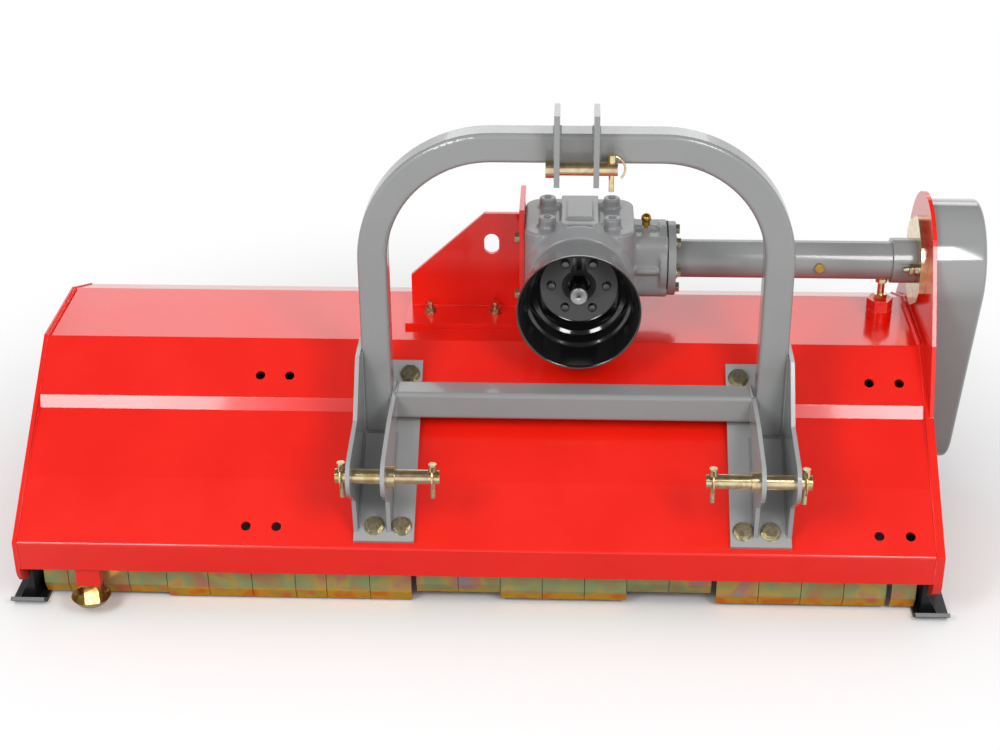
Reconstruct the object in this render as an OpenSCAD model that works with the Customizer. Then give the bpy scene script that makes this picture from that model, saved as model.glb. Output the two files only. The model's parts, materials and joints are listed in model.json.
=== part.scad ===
// Flail mower for a three-point hitch, driven by a tractor's shaft.
// x runs along the rotor from the hitch's middle, y from the front lip to the roller, z up from the ground.

/* [Deck] */
// Width over the two side plates
deck_w = 1753; // [1600:1:1900]
// Distance from the deck's middle to the hitch's middle
hitch_offset = 182.5; // [160:0.5:210]
// Thickness of the folded deck sheet
sheet_t = 5; // [4:0.5:6]
// Thickness of the side plates
side_t = 8; // [6:1:10]
// Height of the lip's lower edge above the ground
lip_z = 105; // [98:1:112]
// Height of the front lip
lip_h = 58; // [52:1:64]
// Height of the deck's top above the lip's lower edge
deck_rise = 319; // [305:1:335]
// Depth from the lip to the front edge of the flat top
slope_run = 359; // [345:1:370]
// Depth of the flat top
top_run = 224; // [210:1:240]
// Depth from the lip to the crease in the slope
crease_y = 114; // [105:1:125]
// Depth from the lip to the valley in the slope
valley_y = 243; // [236:1:250]
// Height of the valley above the lip's lower edge
valley_rise = 218; // [213:1:222]
// Depth of the bend facet in the valley
bend_run = 14; // [10:1:18]
// Height of the bend facet in the valley
bend_rise = 22; // [18:1:26]
// Depth of the sheet behind the flat top
shoulder_run = 118; // [110:1:125]
// Drop of the sheet behind the flat top
shoulder_drop = 46; // [36:1:56]
// Depth of the rear hood
hood_run = 58; // [50:1:66]
// Drop of the rear hood
hood_drop = 85; // [75:1:95]
// Depth of the tail
tail_run = 8; // [4:1:14]
// Drop of the tail
tail_drop = 106; // [98:1:110]
// Radius of the sheet's bends at the middle of its thickness
sheet_bend_r = 4; // [3:0.5:5]
// How far the side plates stand out of the sheet
side_proud = 2; // [1:0.5:4]
// Height of the side plates' lower edge
side_z = 62; // [54:1:70]
// Radius of the side plates' lower front corner
side_corner_r = 44; // [30:1:50]

/* [Rotor] */
// Depth from the lip to the rotor's axis
rotor_y = 590; // [584:1:596]
// Height of the rotor's axis
rotor_z = 170; // [165:1:176]
// Diameter of the rotor tube
rotor_d = 114; // [108:1:118]
// Wall of the rotor tube
rotor_wall = 8; // [6:1:10]
// Gap from the rotor tube to each side plate
rotor_end_gap = 12; // [9:1:16]
// Diameter of the rotor's shaft ends
rotor_shaft_d = 45; // [40:1:48]
// Radius that the hammers sweep
swing_r = 132; // [126:1:136]
// Radius of the hammer bolts' circle
hammer_bolt_r = 78; // [75:1:81]
// Number of hammers
hammer_count = 24; // [16:1:24]
// Width of a hammer's head along the rotor
hammer_w = 58; // [48:1:60]
// Depth of a hammer's head along the radius
hammer_h = 30; // [24:1:32]
// Thickness of a hammer's head across the radius
hammer_t = 34; // [26:1:36]
// Width of a hammer's shank along the rotor
shank_w = 22; // [16:1:24]
// Diameter of a hammer's eye
hammer_eye_d = 30; // [26:1:32]
// Diameter of a hammer bolt
hammer_bolt_d = 14; // [12:1:16]
// Thickness of a hammer lug
lug_t = 7; // [5:1:8]
// Width of a hammer lug
lug_w = 36; // [30:1:40]

/* [Drive] */
// Depth from the lip to the drive shaft's axis
drive_y = 488; // [484:1:492]
// Height of the drive shaft's axis
drive_z = 550; // [546:1:556]
// Diameter of the drive shaft
drive_shaft_d = 40; // [36:1:42]
// Diameter of the drive tube
drive_tube_d = 76; // [72:1:80]
// Wall of the drive tube
drive_tube_wall = 5; // [4:0.5:6]
// Diameter of the sleeve at the tube's end
sleeve_d = 90; // [86:1:94]
// Length of the sleeve at the tube's end
sleeve_len = 45; // [38:1:52]
// Height of the tension plate
tension_plate_d = 184; // [178:1:190]
// Thickness of the tension plate
tension_plate_t = 13; // [10:1:15]
// Pitch diameter of the upper pulley
upper_pulley_d = 160; // [156:1:164]
// Pitch diameter of the lower pulley
lower_pulley_d = 120; // [116:1:124]
// Number of belts
belt_count = 3; // [2:1:3]
// Distance between belts
belt_pitch = 18; // [16:1:19]
// Width of a belt
belt_w = 10.4; // [9.5:0.1:11]
// Height of a belt
belt_h = 8.7; // [8:0.1:10]
// Width of the belt cover
cover_w = 100; // [97:1:106]
// Wall of the belt cover
cover_wall = 3; // [2:0.5:4]
// Radius of the belt cover's top
cover_top_r = 124; // [119:1:128]
// Radius of the belt cover's bottom
cover_low_r = 111; // [106:1:115]
// Radius of the tower behind the belt cover
tower_r = 138; // [134:1:142]
// Depth from the lip to the foot of the tower's front edge
tower_foot_y = 229; // [220:1:240]
// Depth from the lip to the knee in the tower's front edge
tower_knee_y = 283; // [275:1:290]
// Height of the knee in the tower's front edge
tower_knee_z = 461; // [450:1:470]

/* [Gearbox] */
// Distance from the hitch's middle to the gearbox's middle
gearbox_x = 8; // [0:1:14]
// Width of the gearbox case
case_w = 216; // [208:2:224]
// Depth of the gearbox case
case_d = 190; // [184:2:196]
// Height of the gearbox case
case_h = 176; // [176:2:190]
// Wall of the gearbox case
case_wall = 12; // [10:1:14]
// Radius of the gearbox case's upright edges
case_r = 34; // [26:1:40]
// Diameter of the output neck
neck_d = 128; // [122:1:134]
// Distance from the gearbox's middle to the end of its output flange
neck_end = 175; // [168:1:182]
// Diameter of the output flange
flange_d = 148; // [144:1:156]
// Thickness of each output flange
flange_t = 16; // [13:1:18]
// Diameter of the bosses on the gearbox
boss_d = 34; // [30:1:38]
// Distance between the bosses along the rotor
boss_span_x = 128; // [120:1:136]
// Distance between the bosses along the depth
boss_span_y = 102; // [96:1:110]
// Height of the bosses above the case
boss_h = 20; // [14:1:24]
// Diameter of the bearings' outer rings
bearing_d = 72; // [70:1:76]
// Width of the bearings
bearing_w = 18; // [15:1:20]
// Teeth on the bevel pinion
pinion_teeth = 9; // [9:2:11]
// Turns of the drive shaft for one turn of the splined stub
gear_ratio = 3; // [3:1:3]
// Pitch radius of the bevel pinion
pinion_r = 20; // [19:0.5:21]
// Diameter of the splined stub over its teeth
spline_d = 34.9; // [34:0.1:36]
// Diameter of the splined stub between its teeth
spline_root_d = 29.6; // [28:0.1:30]
// Width of a spline tooth
spline_w = 8.6; // [8:0.1:9]
// Depth from the lip to the splined stub's tip
stub_tip_y = 301; // [290:1:306]
// Length of the splines
spline_len = 66; // [60:1:70]
// Depth from the lip to the guard's rim
guard_y = 229; // [222:1:240]
// Diameter of the guard's rim
guard_rim_d = 236; // [228:1:242]
// Diameter of the guard's back
guard_back_d = 196; // [190:1:202]
// Wall of the guard
guard_wall = 4; // [3:0.5:5]
// Width of the bracket's foot along the rotor
bracket_w = 240; // [230:1:250]
// Depth of the bracket's foot
bracket_d = 150; // [140:1:156]
// Thickness of the bracket's plates
bracket_t = 10; // [8:1:12]
// Height of the bracket's side plate
bracket_h = 253; // [245:1:262]

/* [Hitch] */
// Width over the hoop's legs
hoop_w = 804; // [792:2:816]
// Side of the hoop's square tube
hoop_tube = 55; // [50:1:60]
// Wall of the hoop's tube
hoop_wall = 5; // [4:0.5:6]
// Radius of the tube's rounded edges
hoop_edge_r = 8; // [6:0.5:10]
// Outer radius of the hoop's bends
hoop_bend_r = 250; // [235:1:262]
// Depth from the lip to the hoop's front
hoop_y = 188; // [182:1:194]
// Height of the hoop's top
hoop_top_z = 920; // [900:1:940]
// Height of the cross bar's middle
bar_z = 368; // [360:1:376]
// Gap between the top-link ears
ear_gap = 60; // [54:1:66]
// Thickness of the top-link ears
ear_t = 10; // [8:1:12]
// Height of the top-link ears
ear_h = 133; // [126:1:140]
// Distance of the top-link ears' lower edge below the hoop's top
ear_drop = 81; // [76:1:86]
// How far the top-link ears stand out in front of the hoop
ear_reach = 48; // [42:1:52]
// Diameter of the top-link pin
top_pin_d = 25; // [22:1:26]
// Distance of the top-link pin below the hoop's top
top_pin_drop = 54; // [50:1:58]
// Distance of the top-link pin in front of the hoop
top_pin_reach = 23; // [20:1:25]
// Diameter of the lower hitch pins
lower_pin_d = 28; // [26:1:30]
// Depth from the lip to the lower hitch pins, forward being negative
lower_pin_y = -25; // [-30:1:-20]
// Height of the lower hitch pins
lower_pin_z = 339; // [334:1:344]
// Length of the seats on the lower hitch pins' inner stubs
pin_seat_len = 61; // [56:1:66]
// Length of the tips on the lower hitch pins' inner stubs
pin_tip_len = 21; // [18:1:24]
// Thickness of the hitch feet's cheeks
cheek_t = 8; // [7:1:10]
// Radius of the cheeks' noses round the pins
nose_r = 38; // [34:1:42]
// Height of the outer cheeks' tops
cheek_top_z = 488; // [476:1:500]
// Width of the hitch feet's base plates
foot_w = 114; // [110:1:120]
// Thickness of the hitch feet's base plates
foot_t = 10; // [8:1:12]
// Length of the hitch feet's base plates
foot_len = 381; // [370:1:390]

/* [Front flaps] */
// Thickness of a flap
flap_t = 4; // [3:0.5:5]
// Gap between flaps
flap_gap = 1.3; // [1:0.1:1.5]
// Gap at each rod hanger
hanger_gap = 9; // [8:0.5:11]
// Diameter of the flap rod
rod_d = 12; // [10:1:13]
// Depth from the lip to the flap rod
rod_y = 66; // [64:1:70]
// Height of the flap rod
rod_z = 130; // [126:1:134]
// Height of the lower edge of the longest flaps
flap_z = 5; // [4:1:10]
// Length of the flaps' bent lip
flap_lip = 26; // [20:1:30]
// Angle of the flaps' bent lip
flap_lip_angle = 24; // [10:1:30]

/* [Ground gear] */
// Width of a skid's sole
skid_w = 66; // [60:1:72]
// Thickness of the skids
skid_t = 8; // [6:1:10]
// How far a skid's toe stands out of its side plate
skid_toe = 29; // [26:1:34]
// Length of the skids
skid_len = 560; // [530:1:580]
// Height of the skids' uprights
skid_h = 98; // [90:1:104]
// Depth from the lip to the roller's axis
roller_y = 834; // [828:1:842]
// Diameter of the rear roller
roller_d = 110; // [104:1:114]
// Diameter of the roller's axle ends
roller_axle_d = 30; // [26:1:34]
// Thickness of the roller brackets
roller_plate_t = 8; // [6:1:10]
// Distance from the left side plate's outer face to the parking stand's middle
stand_inset = 135; // [128:1:142]
// Height of the parking stand's foot above the ground when it is stowed
stand_foot_z = 28; // [24:1:32]
// Width of the parking stand's sleeve
stand_w = 46; // [44:1:50]
// Depth of the parking stand's sleeve
stand_d = 38; // [34:1:39]
// Wall of the parking stand's sleeve
stand_wall = 8; // [7:0.5:9]
// Diameter of the parking stand's foot
stand_foot_d = 76; // [72:1:80]

/* [Hidden] */
$fn = 48;

// How far every cut runs past what it cuts
overrun = 2;
// Radial clearance of a shaft in its bearing, and of a pin in its hole
run_clear = 0.06;
// Clearance of seats, holes and soft running gaps
seat_clear = 0.3;

red = "#d8231c";
grey = "#9a9c9c";
zinc = "#cdb777";
black = "#202022";

// Deck
left_x = -deck_w / 2 - hitch_offset;
right_x = deck_w / 2 - hitch_offset;
inner_left_x = left_x + side_t;
right_t = 2 * side_t;
inner_right_x = right_x - right_t;
function wall_t(out) = out > 0 ? right_t : side_t;
fold_z = lip_z + lip_h;
deck_face_z = lip_z + deck_rise;
deck_z = deck_face_z - sheet_t / 2;
slope_a = atan2(deck_z - fold_z, slope_run - sheet_t / 2);
function slope_z(y) = fold_z + (y - sheet_t / 2) * tan(slope_a);
top_rear_y = slope_run + top_run;
shoulder_y = top_rear_y + shoulder_run;
hood_y = shoulder_y + hood_run;
tail_y = hood_y + tail_run;
shoulder_z = deck_z - shoulder_drop;
hood_z = shoulder_z - hood_drop;
tail_z = hood_z - tail_drop;
valley_z = lip_z + valley_rise;
deck_line = [[sheet_t / 2, lip_z], [sheet_t / 2, fold_z], [crease_y, slope_z(crease_y)],
    [valley_y, valley_z], [valley_y + bend_run, valley_z + bend_rise], [slope_run, deck_z],
    [top_rear_y, deck_z], [shoulder_y, shoulder_z], [hood_y, hood_z], [tail_y, tail_z]];

// The part's own frame: middle of its box on the ground
cheek_front_y = lower_pin_y - nose_r;
frame_x = -(left_x - skid_toe + right_x + cover_w) / 2;
frame_y = -(cheek_front_y + roller_y + roller_d / 2) / 2;

// Hitch
leg_x = hoop_w / 2 - hoop_tube / 2;
hoop_mid_y = hoop_y + hoop_tube / 2;
cheek_out_x = hoop_w / 2;
cheek_in_x = hoop_w / 2 - hoop_tube - cheek_t;
foot_start = 11;
foot_face = sheet_t / 2 + foot_t;
foot_out_x = cheek_out_x + cheek_t;
foot_in_x = foot_out_x - foot_w;
ear_back = 6;
ear_chamfer = 36;
top_pin_y = hoop_y - top_pin_reach;
top_pin_z = hoop_top_z - top_pin_drop;
ear_z = hoop_top_z - ear_drop;
top_pin_over = 33;
pin_collar_d = 40;
pin_collar_len = 16;
pin_outer_over = 22;
pin_tip_step = 1;
pin_tip_d = lower_pin_d - 2 * pin_tip_step;
pin_seat_x = cheek_in_x - pin_collar_len - pin_seat_len;
pin_in_x = pin_seat_x - pin_tip_len;
pin_out_x = foot_out_x + pin_outer_over;
lynch_d = 10;
lynch_inset = 13;
lynch_out_inset = 11;
lynch_in_x = pin_in_x + lynch_inset;
lynch_out_x = pin_out_x - lynch_out_inset;
lynch_head_d = 15;
lynch_head_h = 14;
lynch_ring_r = 24;
lynch_wire_d = 4;
cheek_neck_y = 86;
cheek_neck_rise = 15;
cheek_neck_z = lower_pin_z + nose_r + cheek_neck_rise;
cheek_peak_y = 160;
cheek_heel_y = 10;
cheek_heel_z = lower_pin_z - 2 * nose_r;
foot_bolt_d = 18;
foot_bolt_low = 41;
foot_bolt_high = 360;
foot_bolt_in = 23.5;
foot_bolt_step = 52;
foot_bolt_high_grip = 17;
spare_hole_x = 596;
spare_hole_step = 58;

// Drive line
pulley_gap = 5;
pulley_edge = 4;
pulley_w = belt_count * belt_pitch + 2 * pulley_edge;
housing_t = 20;
pulley_x = right_x + housing_t + pulley_gap;
shaft_end = 4;
groove_depth = 5;
tube_start_x = gearbox_x + neck_end + flange_t;
tube_end_x = right_x - side_t - tension_plate_t;
tube_bore_r = drive_tube_d / 2 - drive_tube_wall;
crown_r = pinion_r * gear_ratio;
apex = [gearbox_x, drive_y, drive_z];
drive_axis = [drive_y, drive_z];
rotor_axis = [rotor_y, rotor_z];
tooth_len_share = 0.35;
case_front_y = drive_y - case_d / 2;
front_boss_t = 34;
guard_back_y = case_front_y - front_boss_t;
case_floor_z = drive_z - case_h / 2;
case_top_z = drive_z + case_h / 2;
case_left_x = gearbox_x - case_w / 2;
bracket_x = case_left_x - bracket_t;
bracket_y = drive_y - bracket_d / 2;
stiffener_y = drive_y + bracket_t;

// Rotor
rotor_left_x = inner_left_x + rotor_end_gap;
rotor_right_x = inner_right_x - rotor_end_gap;
hammer_margin = hammer_w / 2 + 2 * rotor_end_gap;
hammer_pitch = (rotor_right_x - rotor_left_x - 2 * hammer_margin) / (hammer_count - 1);
hammer_step_a = 90;
bearing_cap_t = 5;
end_cap_t = 14;
vent_d = 6;

// Tension screw
tension_bolt_d = 14;
tension_boss_d = 52;
tension_boss_h = 43;
tension_sink = 8;
tension_head_d = 24;
tension_head_h = 9;
tension_head_gap = 1;
tension_x = tube_end_x - sleeve_len - tension_head_d / 2 - tension_head_gap;

// Front flaps
knuckle_wall = 3;
knuckle_d = rod_d + 2 * knuckle_wall;
flap_front_y = rod_y - knuckle_d / 2;
low_rise = 4;
mid_rise = 7;
high_rise = 20;
top_rise = 27;
flap_rises = [mid_rise, mid_rise, mid_rise, mid_rise, 0, 0, 0, 0, 0, 0, high_rise, high_rise, mid_rise, mid_rise,
    mid_rise, top_rise, top_rise, low_rise, low_rise, low_rise, low_rise, low_rise];
flap_shares = [0.58, 0.83, 0.62, 0.92, 1, 1.05, 1.04, 0.74, 1.04, 1, 1, 1, 1, 1, 1, 1, 1, 1, 1, 1, 1, 0.58];
hanger_after = [10, 17, 21];
hanger_t = 6;
function is_hanger(i) = len(search(i, hanger_after)) > 0;
function total(list, i = 0) = i < len(list) ? list[i] + total(list, i + 1) : 0;
function flap_step(i) = flap_shares[i - 1] * flap_w + flap_gap + (is_hanger(i) ? hanger_gap : 0);
function flap_run(i) = i < 1 ? 0 : flap_run(i - 1) + flap_step(i);
flap_inset = 17;
flap_bend_r = 6;
flap_end_gap = 8.6;
flap_start_x = inner_left_x + skid_t + flap_inset;
flap_room = inner_right_x - skid_t - flap_end_gap - flap_start_x;
flap_w = (flap_room - len(flap_shares) * flap_gap - len(hanger_after) * hanger_gap) / total(flap_shares);
function flap_x(i) = flap_start_x + flap_run(i - 1);

// Ground gear
roller_plate_left_x = inner_left_x + roller_plate_t;
roller_plate_right_x = inner_right_x - roller_plate_t;
roller_gap = 4;
roller_z = roller_d / 2;
roller_wall = 6;
skid_front_y = 26;
skid_nose = 18;
skid_bend_r = 16;
stand_x = left_x + stand_inset;
stand_y = sheet_t + stand_d / 2;
stand_top_drop = 8;
stand_sleeve_drop = 40;
stand_top_z = fold_z - stand_top_drop;
stand_sleeve_z = lip_z - stand_sleeve_drop;
stand_leg_len = 110;
stand_foot_h = 12;
stand_foot_t = 3;
stand_foot_reach = 10;

// Fasteners, as shares of their thread
head_share = 1.8;
head_h_share = 0.62;
nut_h_share = 0.8;
washer_share = 2.1;
washer_h_share = 0.16;
bolt_d = 12;
small_bolt_d = 8;

// Puts what is drawn from the hitch's middle into the part's own frame
module placed() {
    translate([frame_x, frame_y, 0]) children();
}

// Extrudes a flat outline in y and z along x
module along_x(x, length) {
    translate([x, 0, 0]) rotate([90, 0, 90]) linear_extrude(length) children();
}

// Extrudes a flat outline in x and z along y
module along_y(y, length) {
    translate([0, y + length, 0]) rotate([90, 0, 0]) linear_extrude(length) children();
}

module round_x(at, d, length) {
    translate(at) rotate([0, 90, 0]) cylinder(d = d, h = length);
}

module round_y(at, d, length) {
    translate(at) rotate([-90, 0, 0]) cylinder(d = d, h = length);
}

module rounded(w, h, r) {
    square([w - 2 * r, h], center = true);
    square([w, h - 2 * r], center = true);
    for (x = [-1, 1], y = [-1, 1]) translate([x * (w / 2 - r), y * (h / 2 - r)]) circle(r = r);
}

// A bent sheet's edge as one outline: a middle line with round corners, and half the sheet on each side of it
bend_steps = 6;
function unit(v) = v / norm(v);
function bend(a, b, c, r) = let (u = unit(a - b), w = unit(c - b), half = acos(u * w) / 2,
    centre = b + unit(u + w) * r / sin(half), first = b + u * r / tan(half) - centre,
    last = b + w * r / tan(half) - centre, from = atan2(first[1], first[0]),
    turn = (atan2(last[1], last[0]) - from + 540) % 360 - 180)
    [for (i = [0 : bend_steps]) let (a = from + turn * i / bend_steps) centre + r * [cos(a), sin(a)]];
function bent_line(line, r) = [line[0],
    for (i = [1 : len(line) - 2]) each bend(line[i - 1], line[i], line[i + 1], r), line[len(line) - 1]];
function beside(path, off) = [for (i = [0 : len(path) - 1])
    let (run = unit(path[min(i + 1, len(path) - 1)] - path[max(i - 1, 0)]))
    path[i] + off * [-run[1], run[0]]];
function reversed(points) = [for (i = [len(points) - 1 : -1 : 0]) points[i]];
function without_first(points) = [for (i = [1 : len(points) - 1]) points[i]];
module bent_strip(line, t, r) {
    path = bent_line(line, r);
    polygon(concat(beside(path, t / 2), reversed(beside(path, -t / 2))));
}

// Points along an arc, so that it can be part of one outline
arc_steps = 32;
function arc(c, r, from, to) = [for (i = [0 : arc_steps]) let (a = from + (to - from) * i / arc_steps)
    c + r * [cos(a), sin(a)]];

// Outline of a belt's loop round two wheels
module loop_shape(c_a, r_a, c_b, r_b) {
    run = c_b - c_a;
    a = atan2(run[1], run[0]);
    touch = acos((r_a - r_b) / norm(run));
    polygon(concat(arc(c_b, r_b, a - touch, a + touch), arc(c_a, r_a, a + touch, a + 360 - touch)));
}

// A bolt whose head stands up from z = 0, with a washer, and a nut at the end of its grip
module hex_bolt(d, grip, nut = true) {
    washer_h = washer_h_share * d;
    nut_h = nut_h_share * d;
    cylinder(d = washer_share * d, h = washer_h);
    translate([0, 0, washer_h]) cylinder(d = head_share * d, h = head_h_share * d, $fn = 6);
    translate([0, 0, -grip - (nut ? nut_h : 0)]) cylinder(d = d, h = grip + washer_h + (nut ? nut_h : 0));
    if (nut) translate([0, 0, -grip - nut_h]) cylinder(d = head_share * d, h = nut_h, $fn = 6);
}

// The clear hole for such a bolt, running past both faces
module bolt_hole(d, depth) {
    translate([0, 0, -depth - overrun]) cylinder(d = d + 2 * seat_clear, h = depth + 2 * overrun);
}

// The slope that the hitch feet stand on: y along it, z out of it
module on_slope() {
    translate([0, sheet_t / 2, fold_z]) rotate([slope_a, 0, 0]) children();
}

module at_foot_bolts(side) {
    x_in = foot_in_x + foot_bolt_in;
    for (p = [[x_in, foot_bolt_low], [x_in + foot_bolt_step, foot_bolt_low]])
        on_slope() translate([side * p[0], p[1], foot_face]) children(0);
    on_slope() translate([side * x_in, foot_bolt_high, foot_face]) children(1);
}

module at_spare_holes() {
    for (side = [-1, 1], step = [-1, 1], s = [foot_bolt_low, foot_bolt_high])
        on_slope() translate([gearbox_x + side * (spare_hole_x + step * spare_hole_step / 2), s, foot_face])
            children();
}

bracket_bolt_x_shares = [0.2, 0.75];
bracket_bolt_y_shares = [0.38, 0.84];
module at_bracket_bolts() {
    for (sx = bracket_bolt_x_shares, sy = bracket_bolt_y_shares)
        translate([bracket_x - bracket_w + bracket_t + sx * bracket_w, bracket_y + sy * bracket_d,
            deck_face_z + bracket_t]) children();
}

case_bolt_y_share = 0.24;
case_bolt_z_share = 0.345;
module at_case_bolts() {
    for (y = [-1, 1], z = [-1, 1])
        translate([bracket_x, drive_y + y * case_bolt_y_share * case_d,
            drive_z + z * case_bolt_z_share * case_h]) rotate([0, -90, 0]) children();
}

flange_bolt_count = 6;
flange_bolt_shift = 2;
flange_bolt_a = 5;
flange_bolt_r = (flange_d + drive_tube_d) / 4 + flange_bolt_shift;
module at_flange_bolts() {
    for (i = [0 : flange_bolt_count - 1])
        translate([tube_start_x, drive_y, drive_z])
            rotate([flange_bolt_a + i * 360 / flange_bolt_count, 0, 0])
            translate([0, flange_bolt_r, 0]) rotate([0, 90, 0]) children();
}

guard_bolt_r = 53;
guard_ring_t = 2 * guard_wall;
module at_guard_bolts() {
    for (a = [0 : 60 : 300])
        translate([gearbox_x, guard_back_y - guard_ring_t, drive_z]) rotate([0, a, 0])
            translate([guard_bolt_r, 0, 0]) rotate([90, 0, 0]) children();
}

plate_bolt_r = 72;
plate_bolt_angles = [170, 350];
module at_plate_bolts() {
    for (a = plate_bolt_angles)
        translate([tube_end_x, drive_y, drive_z]) rotate([a, 0, 0]) translate([0, plate_bolt_r, 0])
            rotate([0, -90, 0]) children();
}

housing_side = 120;
housing_bolt_span = 88;
housing_flange_t = 12;
module at_housing_bolts(face_x, out) {
    for (y = [-1, 1], z = [-1, 1])
        translate([face_x + out * housing_flange_t, rotor_y + y * housing_bolt_span / 2,
            rotor_z + z * housing_bolt_span / 2]) rotate([0, out * 90, 0]) children();
}

skid_bolt_shares = [0.16, 0.72];
module at_skid_bolts(face_x, out) {
    for (s = skid_bolt_shares)
        translate([face_x, skid_front_y + s * skid_len, (side_z + skid_h) / 2 + small_bolt_d / 2])
            rotate([0, out * 90, 0]) children();
}

roller_bolt_insets = [60, 28];
roller_bolt_rise = 46;
roller_bolt_z = side_z + roller_bolt_rise;
module at_roller_bolts(face_x, out) {
    for (inset = roller_bolt_insets)
        translate([face_x, tail_y - inset, roller_bolt_z]) rotate([0, out * 90, 0]) children();
}

module deck_shell() {
    color(red) placed() difference() {
        along_x(inner_left_x, inner_right_x - inner_left_x) bent_strip(deck_line, sheet_t, sheet_bend_r);
        for (side = [-1, 1]) at_foot_bolts(side) {
            bolt_hole(foot_bolt_d, foot_bolt_high_grip);
            bolt_hole(foot_bolt_d, foot_bolt_high_grip);
        }
        at_spare_holes() bolt_hole(foot_bolt_d, foot_bolt_high_grip);
        at_bracket_bolts() bolt_hole(bolt_d, bracket_t + sheet_t);
        translate([tension_x, drive_y, deck_face_z - sheet_t - overrun])
            cylinder(d = tension_bolt_d + 2 * seat_clear, h = sheet_t + 2 * overrun);
    }
}

// Side plate with its rounded front corner
module side_outline() {
    corner = [side_corner_r - side_proud, side_z + side_corner_r];
    polygon(concat(arc(corner, side_corner_r, 270, 180), [[-side_proud, fold_z + side_proud],
        [slope_run, deck_face_z + side_proud], [top_rear_y + side_proud, deck_face_z + side_proud],
        [shoulder_y + side_proud, shoulder_z + side_proud], [hood_y + 2 * side_proud, hood_z + side_proud],
        [tail_y + 2 * side_proud, tail_z], [tail_y + 2 * side_proud, side_z]]));
}

module side_holes(face_x, out) {
    start_x = face_x - (out > 0 ? right_t : 0) - overrun;
    depth = wall_t(out) + 2 * overrun;
    round_x([start_x, rotor_y, rotor_z], rotor_shaft_d + 2 * pulley_gap, depth);
    round_x([start_x, rod_y, rod_z], rod_d + 2 * run_clear, depth);
    at_housing_bolts(face_x, out) bolt_hole(bolt_d, housing_flange_t + wall_t(out));
    at_skid_bolts(face_x, out) bolt_hole(bolt_d, wall_t(out));
    at_roller_bolts(face_x, out) bolt_hole(bolt_d, wall_t(out));
}

module left_side_plate() {
    color(red) placed() difference() {
        along_x(left_x, side_t) side_outline();
        side_holes(left_x, -1);
    }
}

tower_front_a = 150;
tower_rear_a = -20;
module tower_outline() {
    polygon(concat([[tower_foot_y, slope_z(tower_foot_y)], [tower_knee_y, tower_knee_z]],
        arc(drive_axis, tower_r, tower_front_a, tower_rear_a),
        [[shoulder_y, shoulder_z], [top_rear_y, hood_z], [slope_run, hood_z]]));
}

// Two plates, the outer one with the tower
module right_side_plate() {
    color(red) placed() difference() {
        union() {
            along_x(inner_right_x, right_t) side_outline();
            along_x(right_x - side_t, side_t) {
                side_outline();
                tower_outline();
            }
        }
        side_holes(right_x, 1);
        round_x([right_x - side_t - overrun, drive_y, drive_z], drive_shaft_d + 2 * pulley_gap,
            side_t + 2 * overrun);
        at_plate_bolts() bolt_hole(bolt_d, tension_plate_t + side_t);
    }
}

hanger_drop = 14;
module rod_hanger(x) {
    difference() {
        along_x(x, hanger_t) polygon([[rod_y - hanger_drop, rod_z - hanger_drop],
            [rod_y + hanger_drop, rod_z - hanger_drop],
            [rod_y + hanger_drop, slope_z(rod_y + hanger_drop) - sheet_t / 2 / cos(slope_a)],
            [rod_y - hanger_drop, slope_z(rod_y - hanger_drop) - sheet_t / 2 / cos(slope_a)]]);
        round_x([x - overrun, rod_y, rod_z], rod_d + 2 * run_clear, hanger_t + 2 * overrun);
    }
}

module stand_sleeve() {
    translate([stand_x, stand_y, stand_sleeve_z]) linear_extrude(stand_top_z - stand_sleeve_z) difference() {
        square([stand_w, stand_d], center = true);
        square([stand_w - 2 * stand_wall, stand_d - 2 * stand_wall], center = true);
    }
}

module deck_fittings() {
    color(red) placed() {
        for (i = hanger_after) rod_hanger(flap_x(i + 1) - flap_gap - hanger_gap / 2 - hanger_t / 2);
        stand_sleeve();
        translate([tension_x, drive_y, deck_face_z]) difference() {
            union() {
                cylinder(d = tension_boss_d, h = tension_boss_h / 2);
                cylinder(d = tension_boss_d, h = tension_boss_h, $fn = 6);
            }
            translate([0, 0, -overrun])
                cylinder(d = tension_bolt_d + 2 * run_clear, h = tension_boss_h + 2 * overrun);
        }
    }
}

module belt_cover() {
    color(grey) placed() difference() {
        along_x(right_x, cover_w) loop_shape(drive_axis, cover_top_r, rotor_axis, cover_low_r);
        along_x(right_x - overrun, cover_w - cover_wall + overrun)
            loop_shape(drive_axis, cover_top_r - cover_wall, rotor_axis, cover_low_r - cover_wall);
    }
}

slot_w = 30;
slot_h = 44;
slot_inset = 58;
stiffener_h = 214;
stiffener_low_h = 78;
stiffener_top_w = 72;
module bracket_slot() {
    for (z = [-1, 1]) translate([0, z * (slot_h - slot_w) / 2]) circle(d = slot_w);
    square([slot_w, slot_h - slot_w], center = true);
}

module gearbox_bracket() {
    foot_x = bracket_x + bracket_t - bracket_w;
    plate_w = bracket_w - bracket_t - side_t;
    color(red) placed() difference() {
        union() {
            translate([foot_x, bracket_y, deck_face_z]) cube([bracket_w, bracket_d, bracket_t]);
            translate([bracket_x, bracket_y + bracket_t, deck_face_z])
                cube([bracket_t, bracket_d - 2 * bracket_t, bracket_h]);
            along_y(stiffener_y, bracket_t) translate([bracket_x, deck_face_z]) difference() {
                polygon([[0, 0], [0, stiffener_h], [-stiffener_top_w, stiffener_h],
                    [-plate_w, stiffener_low_h], [-plate_w, 0]]);
                translate([-slot_inset, stiffener_h - slot_inset - side_t]) bracket_slot();
            }
        }
        at_bracket_bolts() bolt_hole(bolt_d, bracket_t);
        at_case_bolts() bolt_hole(bolt_d, bracket_t);
    }
}

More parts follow.
